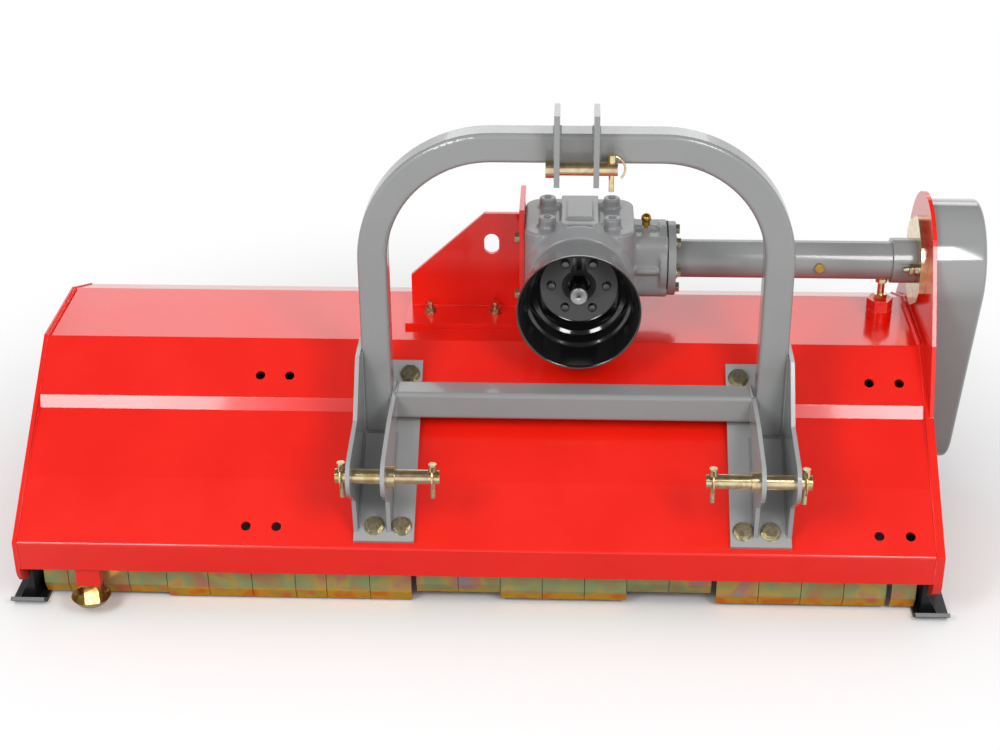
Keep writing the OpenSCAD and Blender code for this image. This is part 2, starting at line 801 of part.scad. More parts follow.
module tube_section() {
    difference() {
        rounded(hoop_tube, hoop_tube, hoop_edge_r);
        rounded(hoop_tube - 2 * hoop_wall, hoop_tube - 2 * hoop_wall, hoop_edge_r - hoop_wall / 2);
    }
}

// What lies below the top face of a hitch foot's base plate
module under_feet() {
    on_slope() translate([foot_in_x - seat_clear, -hoop_bend_r, foot_face - hoop_top_z])
        cube([foot_w + 2 * seat_clear, hoop_top_z + hoop_bend_r, hoop_top_z]);
}

module hoop_half() {
    bend_x = hoop_w / 2 - hoop_bend_r;
    bend_z = hoop_top_z - hoop_bend_r;
    difference() {
        translate([leg_x, hoop_mid_y, 0]) linear_extrude(bend_z) tube_section();
        under_feet();
    }
    translate([bend_x, hoop_mid_y, bend_z]) rotate([90, 0, 0]) rotate_extrude(angle = 90)
        translate([hoop_bend_r - hoop_tube / 2, 0]) tube_section();
}

module ear_outline() {
    top = ear_z + ear_h;
    back = hoop_y + hoop_tube + ear_back;
    polygon([[hoop_y - ear_reach, ear_z], [hoop_y - ear_reach, top], [hoop_y + hoop_tube - ear_chamfer, top],
        [back, top - ear_chamfer], [back, hoop_top_z - hoop_tube - ear_back],
        [hoop_y, hoop_top_z - hoop_tube - ear_back], [hoop_y, ear_z]]);
}

module hitch_hoop() {
    bend_x = hoop_w / 2 - hoop_bend_r;
    bar_half = cheek_in_x;
    color(grey) placed() {
        difference() {
            union() {
                hoop_half();
                mirror([1, 0, 0]) hoop_half();
                translate([-bend_x, hoop_mid_y, hoop_top_z - hoop_tube / 2]) rotate([0, 90, 0])
                    linear_extrude(2 * bend_x) tube_section();
                for (side = [-1, 1])
                    along_x(side * (ear_gap + ear_t) / 2 - ear_t / 2, ear_t) difference() {
                        ear_outline();
                        translate([hoop_mid_y, hoop_top_z - hoop_tube / 2])
                            square(hoop_tube - 2 * hoop_wall, center = true);
                    }
            }
            round_x([-ear_gap, top_pin_y, top_pin_z], top_pin_d + 2 * run_clear, 2 * ear_gap);
        }
        difference() {
            translate([-bar_half, hoop_mid_y, bar_z]) rotate([0, 90, 0])
                linear_extrude(2 * bar_half) tube_section();
            under_feet();
            mirror([1, 0, 0]) under_feet();
        }
    }
}

// Cheek outline: a nose round the pin and a back that stands on the base plate
module cheek_outline(back) {
    function plate_z(y) = slope_z(y) + foot_t / 2;
    heel = [cheek_heel_y, cheek_heel_z];
    rear_y = hoop_y + hoop_tube;
    translate([lower_pin_y, lower_pin_z]) circle(r = nose_r);
    polygon(concat([[lower_pin_y, lower_pin_z + nose_r]], back,
        [[rear_y, plate_z(rear_y)], [2 * cheek_heel_y, plate_z(2 * cheek_heel_y)], heel,
        [lower_pin_y - nose_r * sin(slope_a), lower_pin_z - nose_r * cos(slope_a)]]));
}

module hitch_foot(side) {
    rear_y = hoop_y + hoop_tube;
    neck = [cheek_neck_y, cheek_neck_z];
    color(grey) placed() difference() {
        union() {
            on_slope() translate([side > 0 ? foot_in_x : -foot_out_x, foot_start, sheet_t / 2])
                cube([foot_w, foot_len, foot_t]);
            along_x(side > 0 ? cheek_out_x : -cheek_out_x - cheek_t, cheek_t)
                cheek_outline([neck, [cheek_peak_y, cheek_top_z], [rear_y, cheek_top_z]]);
            along_x(side > 0 ? cheek_in_x : -cheek_in_x - cheek_t, cheek_t)
                cheek_outline([neck, [rear_y, cheek_neck_z]]);
        }
        round_x([-foot_out_x - overrun, lower_pin_y, lower_pin_z], lower_pin_d + 2 * run_clear,
            2 * (foot_out_x + overrun));
        at_foot_bolts(side) {
            bolt_hole(foot_bolt_d, foot_t);
            bolt_hole(foot_bolt_d, foot_t);
        }
    }
}

module left_hitch_foot() {
    hitch_foot(-1);
}

module right_hitch_foot() {
    hitch_foot(1);
}

module lower_pin() {
    difference() {
        union() {
            round_x([pin_in_x, lower_pin_y, lower_pin_z], pin_tip_d, pin_tip_len + overrun);
            round_x([pin_seat_x, lower_pin_y, lower_pin_z], lower_pin_d, pin_out_x - pin_seat_x);
            round_x([cheek_in_x - pin_collar_len, lower_pin_y, lower_pin_z], pin_collar_d, pin_collar_len);
        }
        for (x = [lynch_in_x, lynch_out_x]) translate([x, lower_pin_y, lower_pin_z - lower_pin_d])
            cylinder(d = lynch_d + 2 * seat_clear, h = 2 * lower_pin_d);
    }
}

module lower_pins() {
    color(zinc) placed() {
        lower_pin();
        mirror([1, 0, 0]) lower_pin();
    }
}

top_pin_head_d = 34;
top_pin_head_t = 15;
top_lynch_x = ear_gap / 2 + ear_t + top_pin_over - lynch_out_inset;
module top_link_pin() {
    start = -ear_gap / 2 - ear_t;
    color(zinc) placed() difference() {
        union() {
            round_x([start, top_pin_y, top_pin_z], top_pin_d, ear_gap + 2 * ear_t + top_pin_over);
            round_x([start - top_pin_head_t, top_pin_y, top_pin_z], top_pin_head_d, top_pin_head_t);
        }
        translate([top_lynch_x, top_pin_y, top_pin_z - top_pin_d])
            cylinder(d = lynch_d + 2 * seat_clear, h = 2 * top_pin_d);
    }
}

// Lynch pin pushed down through a hitch pin, with its head on top and its ring round the pin's end
lynch_tip_len = 30;
lynch_ring_a = 135;
module lynch_pin(x, y, z, pin_d, turn) {
    seat = z + pin_d / 2 + seat_clear;
    tip = z - pin_d / 2 - lynch_tip_len;
    translate([x, y, tip]) cylinder(d = lynch_d, h = seat - tip);
    translate([x, y, seat]) cylinder(d = lynch_head_d, h = lynch_head_h);
    translate([x, y, z]) rotate([90, 0, turn]) rotate(90 - lynch_ring_a)
        rotate_extrude(angle = lynch_ring_a) translate([lynch_ring_r, 0]) circle(d = lynch_wire_d);
}

module outer_lynch_pins() {
    color(zinc) placed() for (side = [-1, 1])
        lynch_pin(side * lynch_out_x, lower_pin_y, lower_pin_z, lower_pin_d, -90);
}

module left_lynch_pin() {
    color(zinc) placed() lynch_pin(-lynch_in_x, lower_pin_y, lower_pin_z, pin_tip_d, -90);
}

module right_lynch_pin() {
    color(zinc) placed() lynch_pin(lynch_in_x, lower_pin_y, lower_pin_z, pin_tip_d, -90);
}

module top_lynch_pin() {
    color(zinc) placed() lynch_pin(top_lynch_x, top_pin_y, top_pin_z, top_pin_d, 0);
}

boss_hole_d = 13;
boss_sink = 40;
pad_w_share = 0.32;
pad_d_share = 0.5;
pad_h = 12;
collar_d = 212;
collar_t = 10;
neck_edge_r = 22;
bearing_seat_d = bearing_d + 2 * run_clear;
module case_bosses() {
    for (x = [-1, 1], y = [-1, 1])
        translate([gearbox_x + x * boss_span_x / 2, drive_y + y * boss_span_y / 2, case_top_z - boss_sink])
            children();
}

module gearbox_housing() {
    inner_h = case_h - 2 * case_wall;
    color(grey) placed() difference() {
        union() {
            translate([gearbox_x, drive_y, case_floor_z]) linear_extrude(case_h)
                rounded(case_w, case_d, case_r);
            translate([gearbox_x, guard_back_y, drive_z]) rotate([-90, 0, 0]) {
                cylinder(d1 = guard_back_d, d2 = collar_d, h = front_boss_t);
                translate([0, 0, front_boss_t]) cylinder(d = collar_d, h = collar_t);
            }
            along_x(gearbox_x, neck_end) translate(drive_axis) rounded(neck_d, neck_d, neck_edge_r);
            round_x([gearbox_x + neck_end - flange_t, drive_y, drive_z], flange_d, flange_t);
            case_bosses() cylinder(d = boss_d, h = boss_sink + boss_h);
            translate([gearbox_x, drive_y, case_top_z - overrun]) linear_extrude(pad_h + overrun)
                square([pad_w_share * case_w, pad_d_share * case_d], center = true);
        }
        translate([gearbox_x, drive_y, case_floor_z + case_wall]) linear_extrude(inner_h)
            rounded(case_w - 2 * case_wall, case_d - 2 * case_wall, case_r - case_wall);
        case_bosses() translate([0, 0, boss_sink]) cylinder(d = boss_hole_d, h = boss_h + overrun);
        round_y([gearbox_x, guard_back_y - overrun, drive_z], bearing_seat_d,
            case_wall + front_boss_t + 2 * overrun);
        round_y([gearbox_x, drive_y, drive_z], bearing_seat_d, case_d / 2 - case_wall / 2);
        round_x([gearbox_x, drive_y, drive_z], bearing_seat_d, neck_end + overrun);
        at_flange_bolts() bolt_hole(bolt_d, flange_t + flange_t);
        at_case_bolts() bolt_hole(bolt_d, bracket_t + case_wall);
        at_guard_bolts() bolt_hole(small_bolt_d, guard_ring_t + case_wall);
    }
}

module gearbox_flange() {
    color(grey) placed() difference() {
        round_x([tube_start_x - flange_t, drive_y, drive_z], flange_d, flange_t);
        round_x([tube_start_x - flange_t - overrun, drive_y, drive_z], bearing_d - bearing_w / 2,
            flange_t + 2 * overrun);
        at_flange_bolts() bolt_hole(bolt_d, flange_t);
    }
}

breather_d = 16;
breather_ball_d = 20;
breather_inset = 27;
breather_h = 22;
plug_d = 20;
plug_h = 7;
plug_x_share = 0.6;
module oil_plugs() {
    breather_x = gearbox_x + neck_end - flange_t - breather_inset;
    plug_x = tube_start_x + plug_x_share * (tube_end_x - tube_start_x);
    color("#b08d3c") placed() {
        translate([breather_x, drive_y, drive_z + neck_d / 2]) {
            cylinder(d = breather_d, h = breather_h, $fn = 6);
            translate([0, 0, breather_h]) sphere(d = breather_ball_d);
        }
        translate([plug_x, drive_y, drive_z]) rotate([90, 0, 0]) translate([0, 0, drive_tube_d / 2])
            cylinder(d = plug_d, h = plug_h, $fn = 6);
    }
}

guard_lip = 6;
guard_hole_share = 0.92;
guard_flange_w = 8;
// The guard as a cone, and the stepped ring that holds its lip on the gearbox
module pto_guard() {
    depth = guard_back_y - guard_y;
    rim_r = guard_rim_d / 2;
    back_r = guard_back_d / 2;
    hole_r = guard_hole_share * bearing_d / 2;
    flange_r = back_r - 2 * guard_lip - guard_flange_w;
    ring_r = flange_r - seat_clear;
    lip_front = depth - guard_wall - seat_clear;
    over_r = ring_r + guard_flange_w - guard_wall;
    color(black) placed() difference() {
        translate([gearbox_x, guard_y, drive_z]) rotate([-90, 0, 0]) rotate_extrude(convexity = 4) {
            polygon([[rim_r - guard_wall, 0], [rim_r, 0], [rim_r, guard_lip], [back_r, depth - 2 * guard_lip],
                [back_r - 2 * guard_lip, depth], [flange_r, depth], [flange_r, depth - guard_wall],
                [back_r - 2 * guard_lip - guard_wall, depth - guard_wall],
                [back_r - guard_wall, depth - 3 * guard_lip], [rim_r - 2 * guard_wall, guard_lip]]);
            polygon([[hole_r, depth], [ring_r, depth], [ring_r, lip_front], [over_r, lip_front],
                [over_r, depth - guard_ring_t], [hole_r, depth - guard_ring_t]]);
        }
        at_guard_bolts() bolt_hole(small_bolt_d, guard_ring_t);
    }
}

// A bearing as one ring, running on its shaft
module bearing(d, shaft_d, w) {
    difference() {
        cylinder(d = d, h = w);
        translate([0, 0, -overrun]) cylinder(d = shaft_d + 2 * run_clear, h = w + 2 * overrun);
    }
}

front_bearing_inset = 10;
front_bearing_y = guard_back_y + front_bearing_inset;
rear_bearing_y = drive_y + case_d / 2 - case_wall / 2 - bearing_w;
neck_bearing_x = gearbox_x + neck_end - 2 * flange_t - bearing_w;
tube_bearing_x = tube_end_x - bearing_w;
module gearbox_bearings() {
    color("silver") placed() {
        for (y = [front_bearing_y, rear_bearing_y]) translate([gearbox_x, y, drive_z]) rotate([-90, 0, 0])
            bearing(bearing_d, drive_shaft_d, bearing_w);
        for (x = [neck_bearing_x, tube_bearing_x]) translate([x, drive_y, drive_z]) rotate([0, 90, 0])
            bearing(bearing_d, drive_shaft_d, bearing_w);
    }
}

module drive_tube() {
    length = tube_end_x - tube_start_x;
    color(grey) placed() difference() {
        union() {
            round_x([tube_start_x, drive_y, drive_z], drive_tube_d, length);
            round_x([tube_end_x - sleeve_len, drive_y, drive_z], sleeve_d, sleeve_len);
        }
        round_x([tube_start_x - overrun, drive_y, drive_z], 2 * tube_bore_r, length + 2 * overrun);
        round_x([tube_bearing_x, drive_y, drive_z], bearing_seat_d, bearing_w + overrun);
    }
}

hex_corner_share = 1.08;
module tension_plate() {
    color(zinc) placed() difference() {
        along_x(tube_end_x, tension_plate_t) translate(drive_axis) intersection() {
            circle(d = tension_plate_d);
            rotate(90) circle(d = hex_corner_share * tension_plate_d, $fn = 6);
        }
        round_x([tube_end_x - overrun, drive_y, drive_z], drive_shaft_d + pulley_gap,
            tension_plate_t + 2 * overrun);
        at_plate_bolts() bolt_hole(bolt_d, tension_plate_t);
    }
}

function belt_x(i) = pulley_x + pulley_edge + (i + 1 / 2) * belt_pitch;
module v_belts() {
    upper_r = upper_pulley_d / 2 - groove_depth + seat_clear;
    lower_r = lower_pulley_d / 2 - groove_depth + seat_clear;
    color(black) placed() for (i = [0 : belt_count - 1])
        along_x(belt_x(i) - belt_w / 2, belt_w) difference() {
            loop_shape(drive_axis, upper_r + belt_h, rotor_axis, lower_r + belt_h);
            loop_shape(drive_axis, upper_r, rotor_axis, lower_r);
        }
}

groove_flank = 2;
groove_rim = 2.5;
module pulley(axis, d, bore_d) {
    rim = d / 2 + groove_rim;
    floor_r = d / 2 - groove_depth;
    half = belt_w / 2 + seat_clear;
    translate([pulley_x, axis[0], axis[1]]) rotate([0, 90, 0]) rotate_extrude(convexity = 6)
        polygon(concat([[bore_d / 2 + run_clear, 0], [rim, 0]],
            [for (i = [0 : belt_count - 1]) let (c = belt_x(i) - pulley_x) each
                [[rim, c - half - groove_flank], [floor_r, c - half],
                [floor_r, c + half], [rim, c + half + groove_flank]]],
            [[rim, pulley_w], [bore_d / 2 + run_clear, pulley_w]]));
}

module upper_pulley() {
    color("dimgray") placed() pulley(drive_axis, upper_pulley_d, drive_shaft_d);
}

module lower_pulley() {
    color("dimgray") placed() pulley(rotor_axis, lower_pulley_d, rotor_shaft_d);
}

housing_hub_d = 96;
housing_r = 14;
module rotor_housing(face_x, out, through) {
    bore_d = rotor_shaft_d + 2 * run_clear;
    difference() {
        union() {
            along_x(out > 0 ? face_x : face_x - housing_flange_t, housing_flange_t)
                translate(rotor_axis) rounded(housing_side, housing_side, housing_r);
            round_x([out > 0 ? face_x : face_x - housing_t, rotor_y, rotor_z], housing_hub_d, housing_t);
        }
        if (through) round_x([face_x - overrun, rotor_y, rotor_z], bore_d, housing_t + 2 * overrun);
        else round_x([face_x - housing_t + bearing_cap_t, rotor_y, rotor_z], bore_d, housing_t);
        at_housing_bolts(face_x, out) bolt_hole(bolt_d, housing_flange_t);
    }
}

module rotor_bearings() {
    color("dimgray") placed() {
        rotor_housing(left_x, -1, false);
        rotor_housing(right_x, 1, true);
    }
}

module flap_rod() {
    color(zinc) placed() round_x([left_x, rod_y, rod_z], rod_d, deck_w);
}

toe_gusset_w = 30;
module skid(side) {
    plate_x = side > 0 ? right_x : left_x;
    web_x = side > 0 ? inner_right_x - skid_t : inner_left_x;
    sole_x = side > 0 ? plate_x + skid_toe - skid_w : plate_x - skid_toe;
    web_mid_x = web_x + skid_t / 2;
    rear_y = skid_front_y + skid_len;
    sole = skid_t / 2;
    difference() {
        union() {
            along_x(sole_x, skid_w) bent_strip([[skid_front_y, skid_nose], [skid_front_y + skid_nose, sole],
                [rear_y - skid_nose, sole], [rear_y, skid_nose / 2]], skid_t, skid_bend_r);
            along_x(web_x, skid_t) polygon([[skid_front_y + skid_nose, sole],
                [skid_front_y + skid_nose, skid_h], [rear_y - 2 * skid_nose, skid_h],
                [rear_y - skid_nose, sole]]);
            along_y(skid_front_y + skid_nose, skid_t) polygon([[web_mid_x, sole],
                [web_mid_x, side_z - seat_clear], [web_mid_x + side * toe_gusset_w, sole]]);
        }
        at_skid_bolts(plate_x, side) bolt_hole(bolt_d, wall_t(side) + skid_t);
    }
}

module skids() {
    color(black) placed() for (side = [-1, 1]) skid(side);
}

roller_hub_r = 32;
roller_plate_drop = 10;
module roller_plate(x, face_x, out) {
    low = side_z + roller_plate_drop;
    high = tail_z - roller_plate_drop;
    front = tail_y - roller_bolt_insets[0] - roller_hub_r;
    difference() {
        along_x(x, roller_plate_t) {
            translate([roller_y, roller_z]) circle(r = roller_hub_r);
            polygon([[front, low], [front, high], [tail_y - roller_plate_drop, high],
                [roller_y + roller_hub_r * sin(45), roller_z + roller_hub_r * cos(45)],
                [roller_y, roller_z - roller_hub_r], [tail_y - 2 * roller_hub_r, low]]);
        }
        round_x([x - overrun, roller_y, roller_z], roller_axle_d + 2 * run_clear,
            roller_plate_t + 2 * overrun);
        at_roller_bolts(face_x, out) bolt_hole(bolt_d, wall_t(out) + roller_plate_t);
    }
}

module roller_brackets() {
    color(red) placed() {
        roller_plate(inner_left_x, left_x, -1);
        roller_plate(roller_plate_right_x, right_x, 1);
    }
}

module hex_bolts() {
    color(zinc) placed() {
        for (side = [-1, 1]) at_foot_bolts(side) {
            hex_bolt(foot_bolt_d, foot_t + sheet_t);
            hex_bolt(foot_bolt_d, foot_bolt_high_grip);
        }
        at_bracket_bolts() hex_bolt(bolt_d, bracket_t + sheet_t);
        at_case_bolts() hex_bolt(bolt_d, bracket_t + case_wall, nut = false);
        at_flange_bolts() hex_bolt(bolt_d, flange_t + flange_t, nut = false);
        at_guard_bolts() hex_bolt(small_bolt_d, guard_ring_t + case_wall, nut = false);
        at_plate_bolts() hex_bolt(bolt_d, tension_plate_t + side_t);
        for (end = [[left_x, -1], [right_x, 1]]) {
            at_housing_bolts(end[0], end[1]) hex_bolt(bolt_d, housing_flange_t + wall_t(end[1]), nut = false);
            at_skid_bolts(end[0], end[1]) hex_bolt(bolt_d, wall_t(end[1]) + skid_t, nut = false);
            at_roller_bolts(end[0], end[1]) hex_bolt(bolt_d, wall_t(end[1]) + roller_plate_t, nut = false);
        }
    }
}

module tension_bolt() {
    top = drive_z - drive_tube_d / 2 - seat_clear;
    color(zinc) placed() translate([tension_x, drive_y, 0]) {
        translate([0, 0, top - tension_head_h]) cylinder(d = tension_head_d, h = tension_head_h, $fn = 6);
        translate([0, 0, deck_face_z + tension_sink])
            cylinder(d = tension_bolt_d, h = top - deck_face_z - tension_sink);
    }
}

foot_floor_share = 0.78;
stand_leg_wall = 3;
module stand_leg() {
    w = stand_w - 2 * (stand_wall + seat_clear);
    d = stand_d - 2 * (stand_wall + seat_clear);
    rim_r = stand_foot_d / 2;
    floor_r = foot_floor_share * rim_r;
    color(zinc) placed() translate([stand_x, stand_y, stand_foot_z]) {
        translate([0, 0, stand_foot_t / 2]) linear_extrude(stand_leg_len - stand_foot_t / 2) difference() {
            square([w, d], center = true);
            square([w - 2 * stand_leg_wall, d - 2 * stand_leg_wall], center = true);
        }
        translate([0, -stand_foot_reach, 0]) rotate_extrude()
            polygon([[0, 0], [floor_r, 0], [rim_r, stand_foot_h], [rim_r - stand_foot_t, stand_foot_h],
                [floor_r - stand_foot_t / 2, stand_foot_t], [0, stand_foot_t]]);
    }
}

spline_groove_w = 4;
spline_groove_y = 18;
spline_groove_depth = 3;
module spline_section() {
    circle(d = spline_root_d);
    intersection() {
        circle(d = spline_d);
        for (a = [0 : 60 : 120]) rotate(a) square([spline_d, spline_w], center = true);
    }
}

module pto_shaft() {
    rear = rear_bearing_y + bearing_w;
    color("silver") placed() difference() {
        union() {
            translate([gearbox_x, stub_tip_y, drive_z]) rotate([-90, 0, 0]) linear_extrude(spline_len)
                spline_section();
            round_y([gearbox_x, stub_tip_y + spline_len, drive_z], drive_shaft_d,
                rear - stub_tip_y - spline_len);
        }
        translate([gearbox_x, stub_tip_y + spline_groove_y, drive_z]) rotate([-90, 0, 0]) difference() {
            cylinder(d = spline_d + overrun, h = spline_groove_w);
            translate([0, 0, -overrun])
                cylinder(d = spline_d - 2 * spline_groove_depth, h = spline_groove_w + 2 * overrun);
        }
    }
}

// Straight bevel gears: a toothed outline that shrinks towards the point where the two axes meet
tooth_tip_a = 3.2;
tooth_root_a = 4.2;
tooth_pitch_share = 0.21;
tooth_tip_share = 0.11;
tooth_root_share = 0.29;
module toothed(teeth, root_r, tip_r, mid_r) {
    pitch = 360 / teeth;
    polygon([for (i = [0 : teeth - 1])
        for (p = [[root_r, -tooth_root_share], [mid_r, -tooth_pitch_share], [tip_r, -tooth_tip_share],
            [tip_r, tooth_tip_share], [mid_r, tooth_pitch_share], [root_r, tooth_root_share]])
            p[0] * [cos((i + p[1]) * pitch), sin((i + p[1]) * pitch)]]);
}

// Drawn with its axis along z and the meeting point at the origin
module bevel_teeth(teeth, mid_r, reach) {
    a = atan2(mid_r, reach);
    translate([0, 0, reach]) mirror([0, 0, 1])
        linear_extrude(tooth_len_share * reach, scale = 1 - tooth_len_share)
            toothed(teeth, reach * tan(a - tooth_root_a), reach * tan(a + tooth_tip_a), mid_r);
}

crown_hub_len = 16;
crown_hub_sink = 1;
crown_hub_share = 0.72;
module crown_gear() {
    color("gray") placed() translate(apex) rotate([-90, 0, 0]) difference() {
        union() {
            bevel_teeth(pinion_teeth * gear_ratio, crown_r, pinion_r);
            translate([0, 0, pinion_r - crown_hub_sink])
                cylinder(r = crown_hub_share * crown_r, h = crown_hub_len);
        }
        cylinder(d = drive_shaft_d + 2 * run_clear, h = 2 * (pinion_r + crown_hub_len));
    }
}

pinion_neck_share = 0.35;
pinion_neck_d_share = 0.65;
module drive_shaft() {
    start = gearbox_x + crown_r - crown_hub_sink;
    neck_len = pinion_neck_share * crown_r;
    end = pulley_x + pulley_w + shaft_end;
    color("silver") placed() {
        translate(apex) rotate([0, 90, 0]) rotate(180 / pinion_teeth + 90)
            bevel_teeth(pinion_teeth, pinion_r, crown_r);
        round_x([start, drive_y, drive_z], pinion_neck_d_share * drive_shaft_d, neck_len + overrun);
        round_x([start + neck_len, drive_y, drive_z], drive_shaft_d, end - start - neck_len);
    }
}

lug_foot_r = sqrt(pow(rotor_d / 2, 2) - pow(lug_w / 2, 2)) - overrun;
module at_hammers() {
    for (i = [0 : hammer_count - 1])
        translate([rotor_left_x + hammer_margin + i * hammer_pitch, rotor_y, rotor_z])
            rotate([i * hammer_step_a, 0, 0]) children();
}

// Lug with a round top, standing along z
module lug() {
    along_x(0, lug_t) {
        translate([0, hammer_bolt_r]) circle(d = lug_w);
        translate([-lug_w / 2, lug_foot_r]) square([lug_w, hammer_bolt_r - lug_foot_r]);
    }
}

module rotor() {
    length = rotor_right_x - rotor_left_x;
    bore = [rotor_left_x + end_cap_t, rotor_y, rotor_z];
    left_end = left_x - housing_t + 2 * bearing_cap_t;
    right_end = pulley_x + pulley_w + shaft_end;
    color(black) placed() difference() {
        union() {
            round_x([rotor_left_x, rotor_y, rotor_z], rotor_d, length);
            round_x([left_end, rotor_y, rotor_z], rotor_shaft_d, right_end - left_end);
            at_hammers() for (side = [-1, 1])
                translate([side * (shank_w / 2 + seat_clear) + (side < 0 ? -lug_t : 0), 0, 0]) lug();
        }
        round_x(bore, rotor_d - 2 * rotor_wall, length - 2 * end_cap_t);
        translate(bore + [end_cap_t, 0, 0]) cylinder(d = vent_d, h = rotor_d);
        at_hammers() round_x([-hammer_w, 0, hammer_bolt_r], hammer_bolt_d + 2 * seat_clear, 2 * hammer_w);
    }
}

nut_w = 8;
module hammer() {
    grip = shank_w / 2 + seat_clear + lug_t;
    along_x(-shank_w / 2, shank_w) {
        translate([0, hammer_bolt_r]) circle(d = hammer_eye_d);
        translate([-shank_w / 2, hammer_bolt_r]) square([shank_w, swing_r - hammer_h / 2 - hammer_bolt_r]);
    }
    along_x(-hammer_w / 2, hammer_w) intersection() {
        translate([-hammer_t / 2, swing_r - hammer_h]) square([hammer_t, hammer_h]);
        circle(r = swing_r);
    }
    round_x([-grip, 0, hammer_bolt_r], hammer_bolt_d, 2 * grip);
    for (x = [-grip - nut_w, grip])
        round_x([x, 0, hammer_bolt_r], head_share * hammer_bolt_d, nut_w, $fn = 6);
}

module hammers() {
    color("saddlebrown") placed() at_hammers() hammer();
}

module rear_roller() {
    left = roller_plate_left_x + roller_gap;
    right = roller_plate_right_x - roller_gap;
    bore = [left + end_cap_t, roller_y, roller_z];
    color(black) placed() difference() {
        union() {
            round_x([left, roller_y, roller_z], roller_d, right - left);
            round_x([inner_left_x, roller_y, roller_z], roller_axle_d, inner_right_x - inner_left_x);
        }
        round_x(bore, roller_d - 2 * roller_wall, right - left - 2 * end_cap_t);
        translate(bore + [end_cap_t, 0, 0]) cylinder(d = vent_d, h = roller_d);
    }
}

// One front flap: a knuckle on the rod, a flat face and a lip bent inwards, as one outline
module flap_outline(low_z) {
    lip_drop = flap_lip * cos(flap_lip_angle);
    mid_y = flap_front_y + flap_t / 2;
    path = bent_line([[mid_y, rod_z], [mid_y, low_z + lip_drop],
        [mid_y + flap_lip * sin(flap_lip_angle), low_z]], flap_bend_r);
    back_a = 180 + acos((rod_y - flap_front_y - flap_t) / (knuckle_d / 2));
    polygon(concat(without_first(beside(path, -flap_t / 2)),
        reversed(without_first(beside(path, flap_t / 2))), arc([rod_y, rod_z], knuckle_d / 2, back_a, 540)));
}

module flap(i) {
    w = flap_shares[i - 1] * flap_w;
    color("#a89a3f") placed() difference() {
        along_x(flap_x(i), w) flap_outline(flap_z + flap_rises[i - 1]);
        round_x([flap_x(i) - overrun, rod_y, rod_z], rod_d + 2 * run_clear, w + 2 * overrun);
    }
}

deck_shell();
left_side_plate();
right_side_plate();
deck_fittings();
belt_cover();
gearbox_bracket();
hitch_hoop();
left_hitch_foot();
right_hitch_foot();
lower_pins();
top_link_pin();
outer_lynch_pins();
left_lynch_pin();
right_lynch_pin();
top_lynch_pin();
gearbox_housing();
gearbox_flange();
oil_plugs();
pto_guard();
gearbox_bearings();
drive_tube();
tension_plate();
v_belts();
rotor_bearings();
flap_rod();
skids();
roller_brackets();
hex_bolts();
tension_bolt();
stand_leg();
pto_shaft();
crown_gear();
drive_shaft();
upper_pulley();
rotor();
hammers();
lower_pulley();
rear_roller();
for (i = [1 : 22]) flap(i);
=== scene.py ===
"""Flail mower for a three-point hitch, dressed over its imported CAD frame."""
import json
import math

import bpy
from mathutils import Matrix, Vector


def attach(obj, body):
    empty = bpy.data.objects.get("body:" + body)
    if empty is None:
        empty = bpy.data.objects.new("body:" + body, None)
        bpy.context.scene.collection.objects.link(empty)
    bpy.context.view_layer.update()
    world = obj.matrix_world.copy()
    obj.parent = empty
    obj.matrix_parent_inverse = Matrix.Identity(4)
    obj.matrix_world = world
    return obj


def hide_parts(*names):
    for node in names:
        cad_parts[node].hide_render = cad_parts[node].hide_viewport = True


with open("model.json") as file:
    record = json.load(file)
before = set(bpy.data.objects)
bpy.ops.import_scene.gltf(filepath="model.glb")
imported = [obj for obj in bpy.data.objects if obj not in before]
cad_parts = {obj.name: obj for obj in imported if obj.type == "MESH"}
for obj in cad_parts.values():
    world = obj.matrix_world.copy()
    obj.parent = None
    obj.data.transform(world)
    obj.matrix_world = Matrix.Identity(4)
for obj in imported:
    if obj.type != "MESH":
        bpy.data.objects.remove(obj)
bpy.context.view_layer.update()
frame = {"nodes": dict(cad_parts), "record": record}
nodes = frame["nodes"]

# Places and sizes are in millimetres, as in the part's source: x from the hitch's middle,
# y from the front lip, z from the ground. The row frame has its origin under the middle of the box.
MM = 0.001
FRAME_SHIFT = Vector((147, -413, 0))
BODY_FIXED = "frame"

# Deck: side plates, front lip, hitch slope and flat top
LEFT_X, RIGHT_X, SIDE_T = -1059, 694, 8
LIP_Z, FOLD_Z, DECK_Z = 105, 163, 424
SLOPE_RUN, TOP_RUN, SHEET_T = 359, 224, 5
TOP_BACK_Y = SLOPE_RUN + TOP_RUN
SLOPE_A = math.atan2(DECK_Z - SHEET_T / 2 - FOLD_Z, SLOPE_RUN - SHEET_T / 2)

# Middle of the gearbox, and the line of its output
GEARBOX_X, DRIVE_Y, DRIVE_Z = 8, 488, 550

# Turns for shapes drawn about z: their heights then run away from the tractor, towards it, or to the right
AWAY = Matrix.Rotation(-math.pi / 2, 4, "X")
TOWARDS = Matrix.Rotation(math.pi / 2, 4, "X")
RIGHTWARDS = Matrix.Rotation(math.pi / 2, 4, "Y")


def at(x, y, z):
    """A place of the part's source, in metres in the row frame."""
    return (Vector((x, y, z)) + FRAME_SHIFT) * MM


def slope_z(y):
    """Height of the hitch slope's middle line."""
    return FOLD_Z + (y - SHEET_T / 2) * math.tan(SLOPE_A)


# Modelling helpers

def deselect_all():
    if bpy.context.object and bpy.context.object.mode != "OBJECT":
        bpy.ops.object.mode_set(mode="OBJECT")
    bpy.ops.object.select_all(action="DESELECT")


def pick(*objs):
    """Selects these objects alone, with the first one active."""
    deselect_all()
    for o in objs:
        o.select_set(True)
    bpy.context.view_layer.objects.active = objs[0]


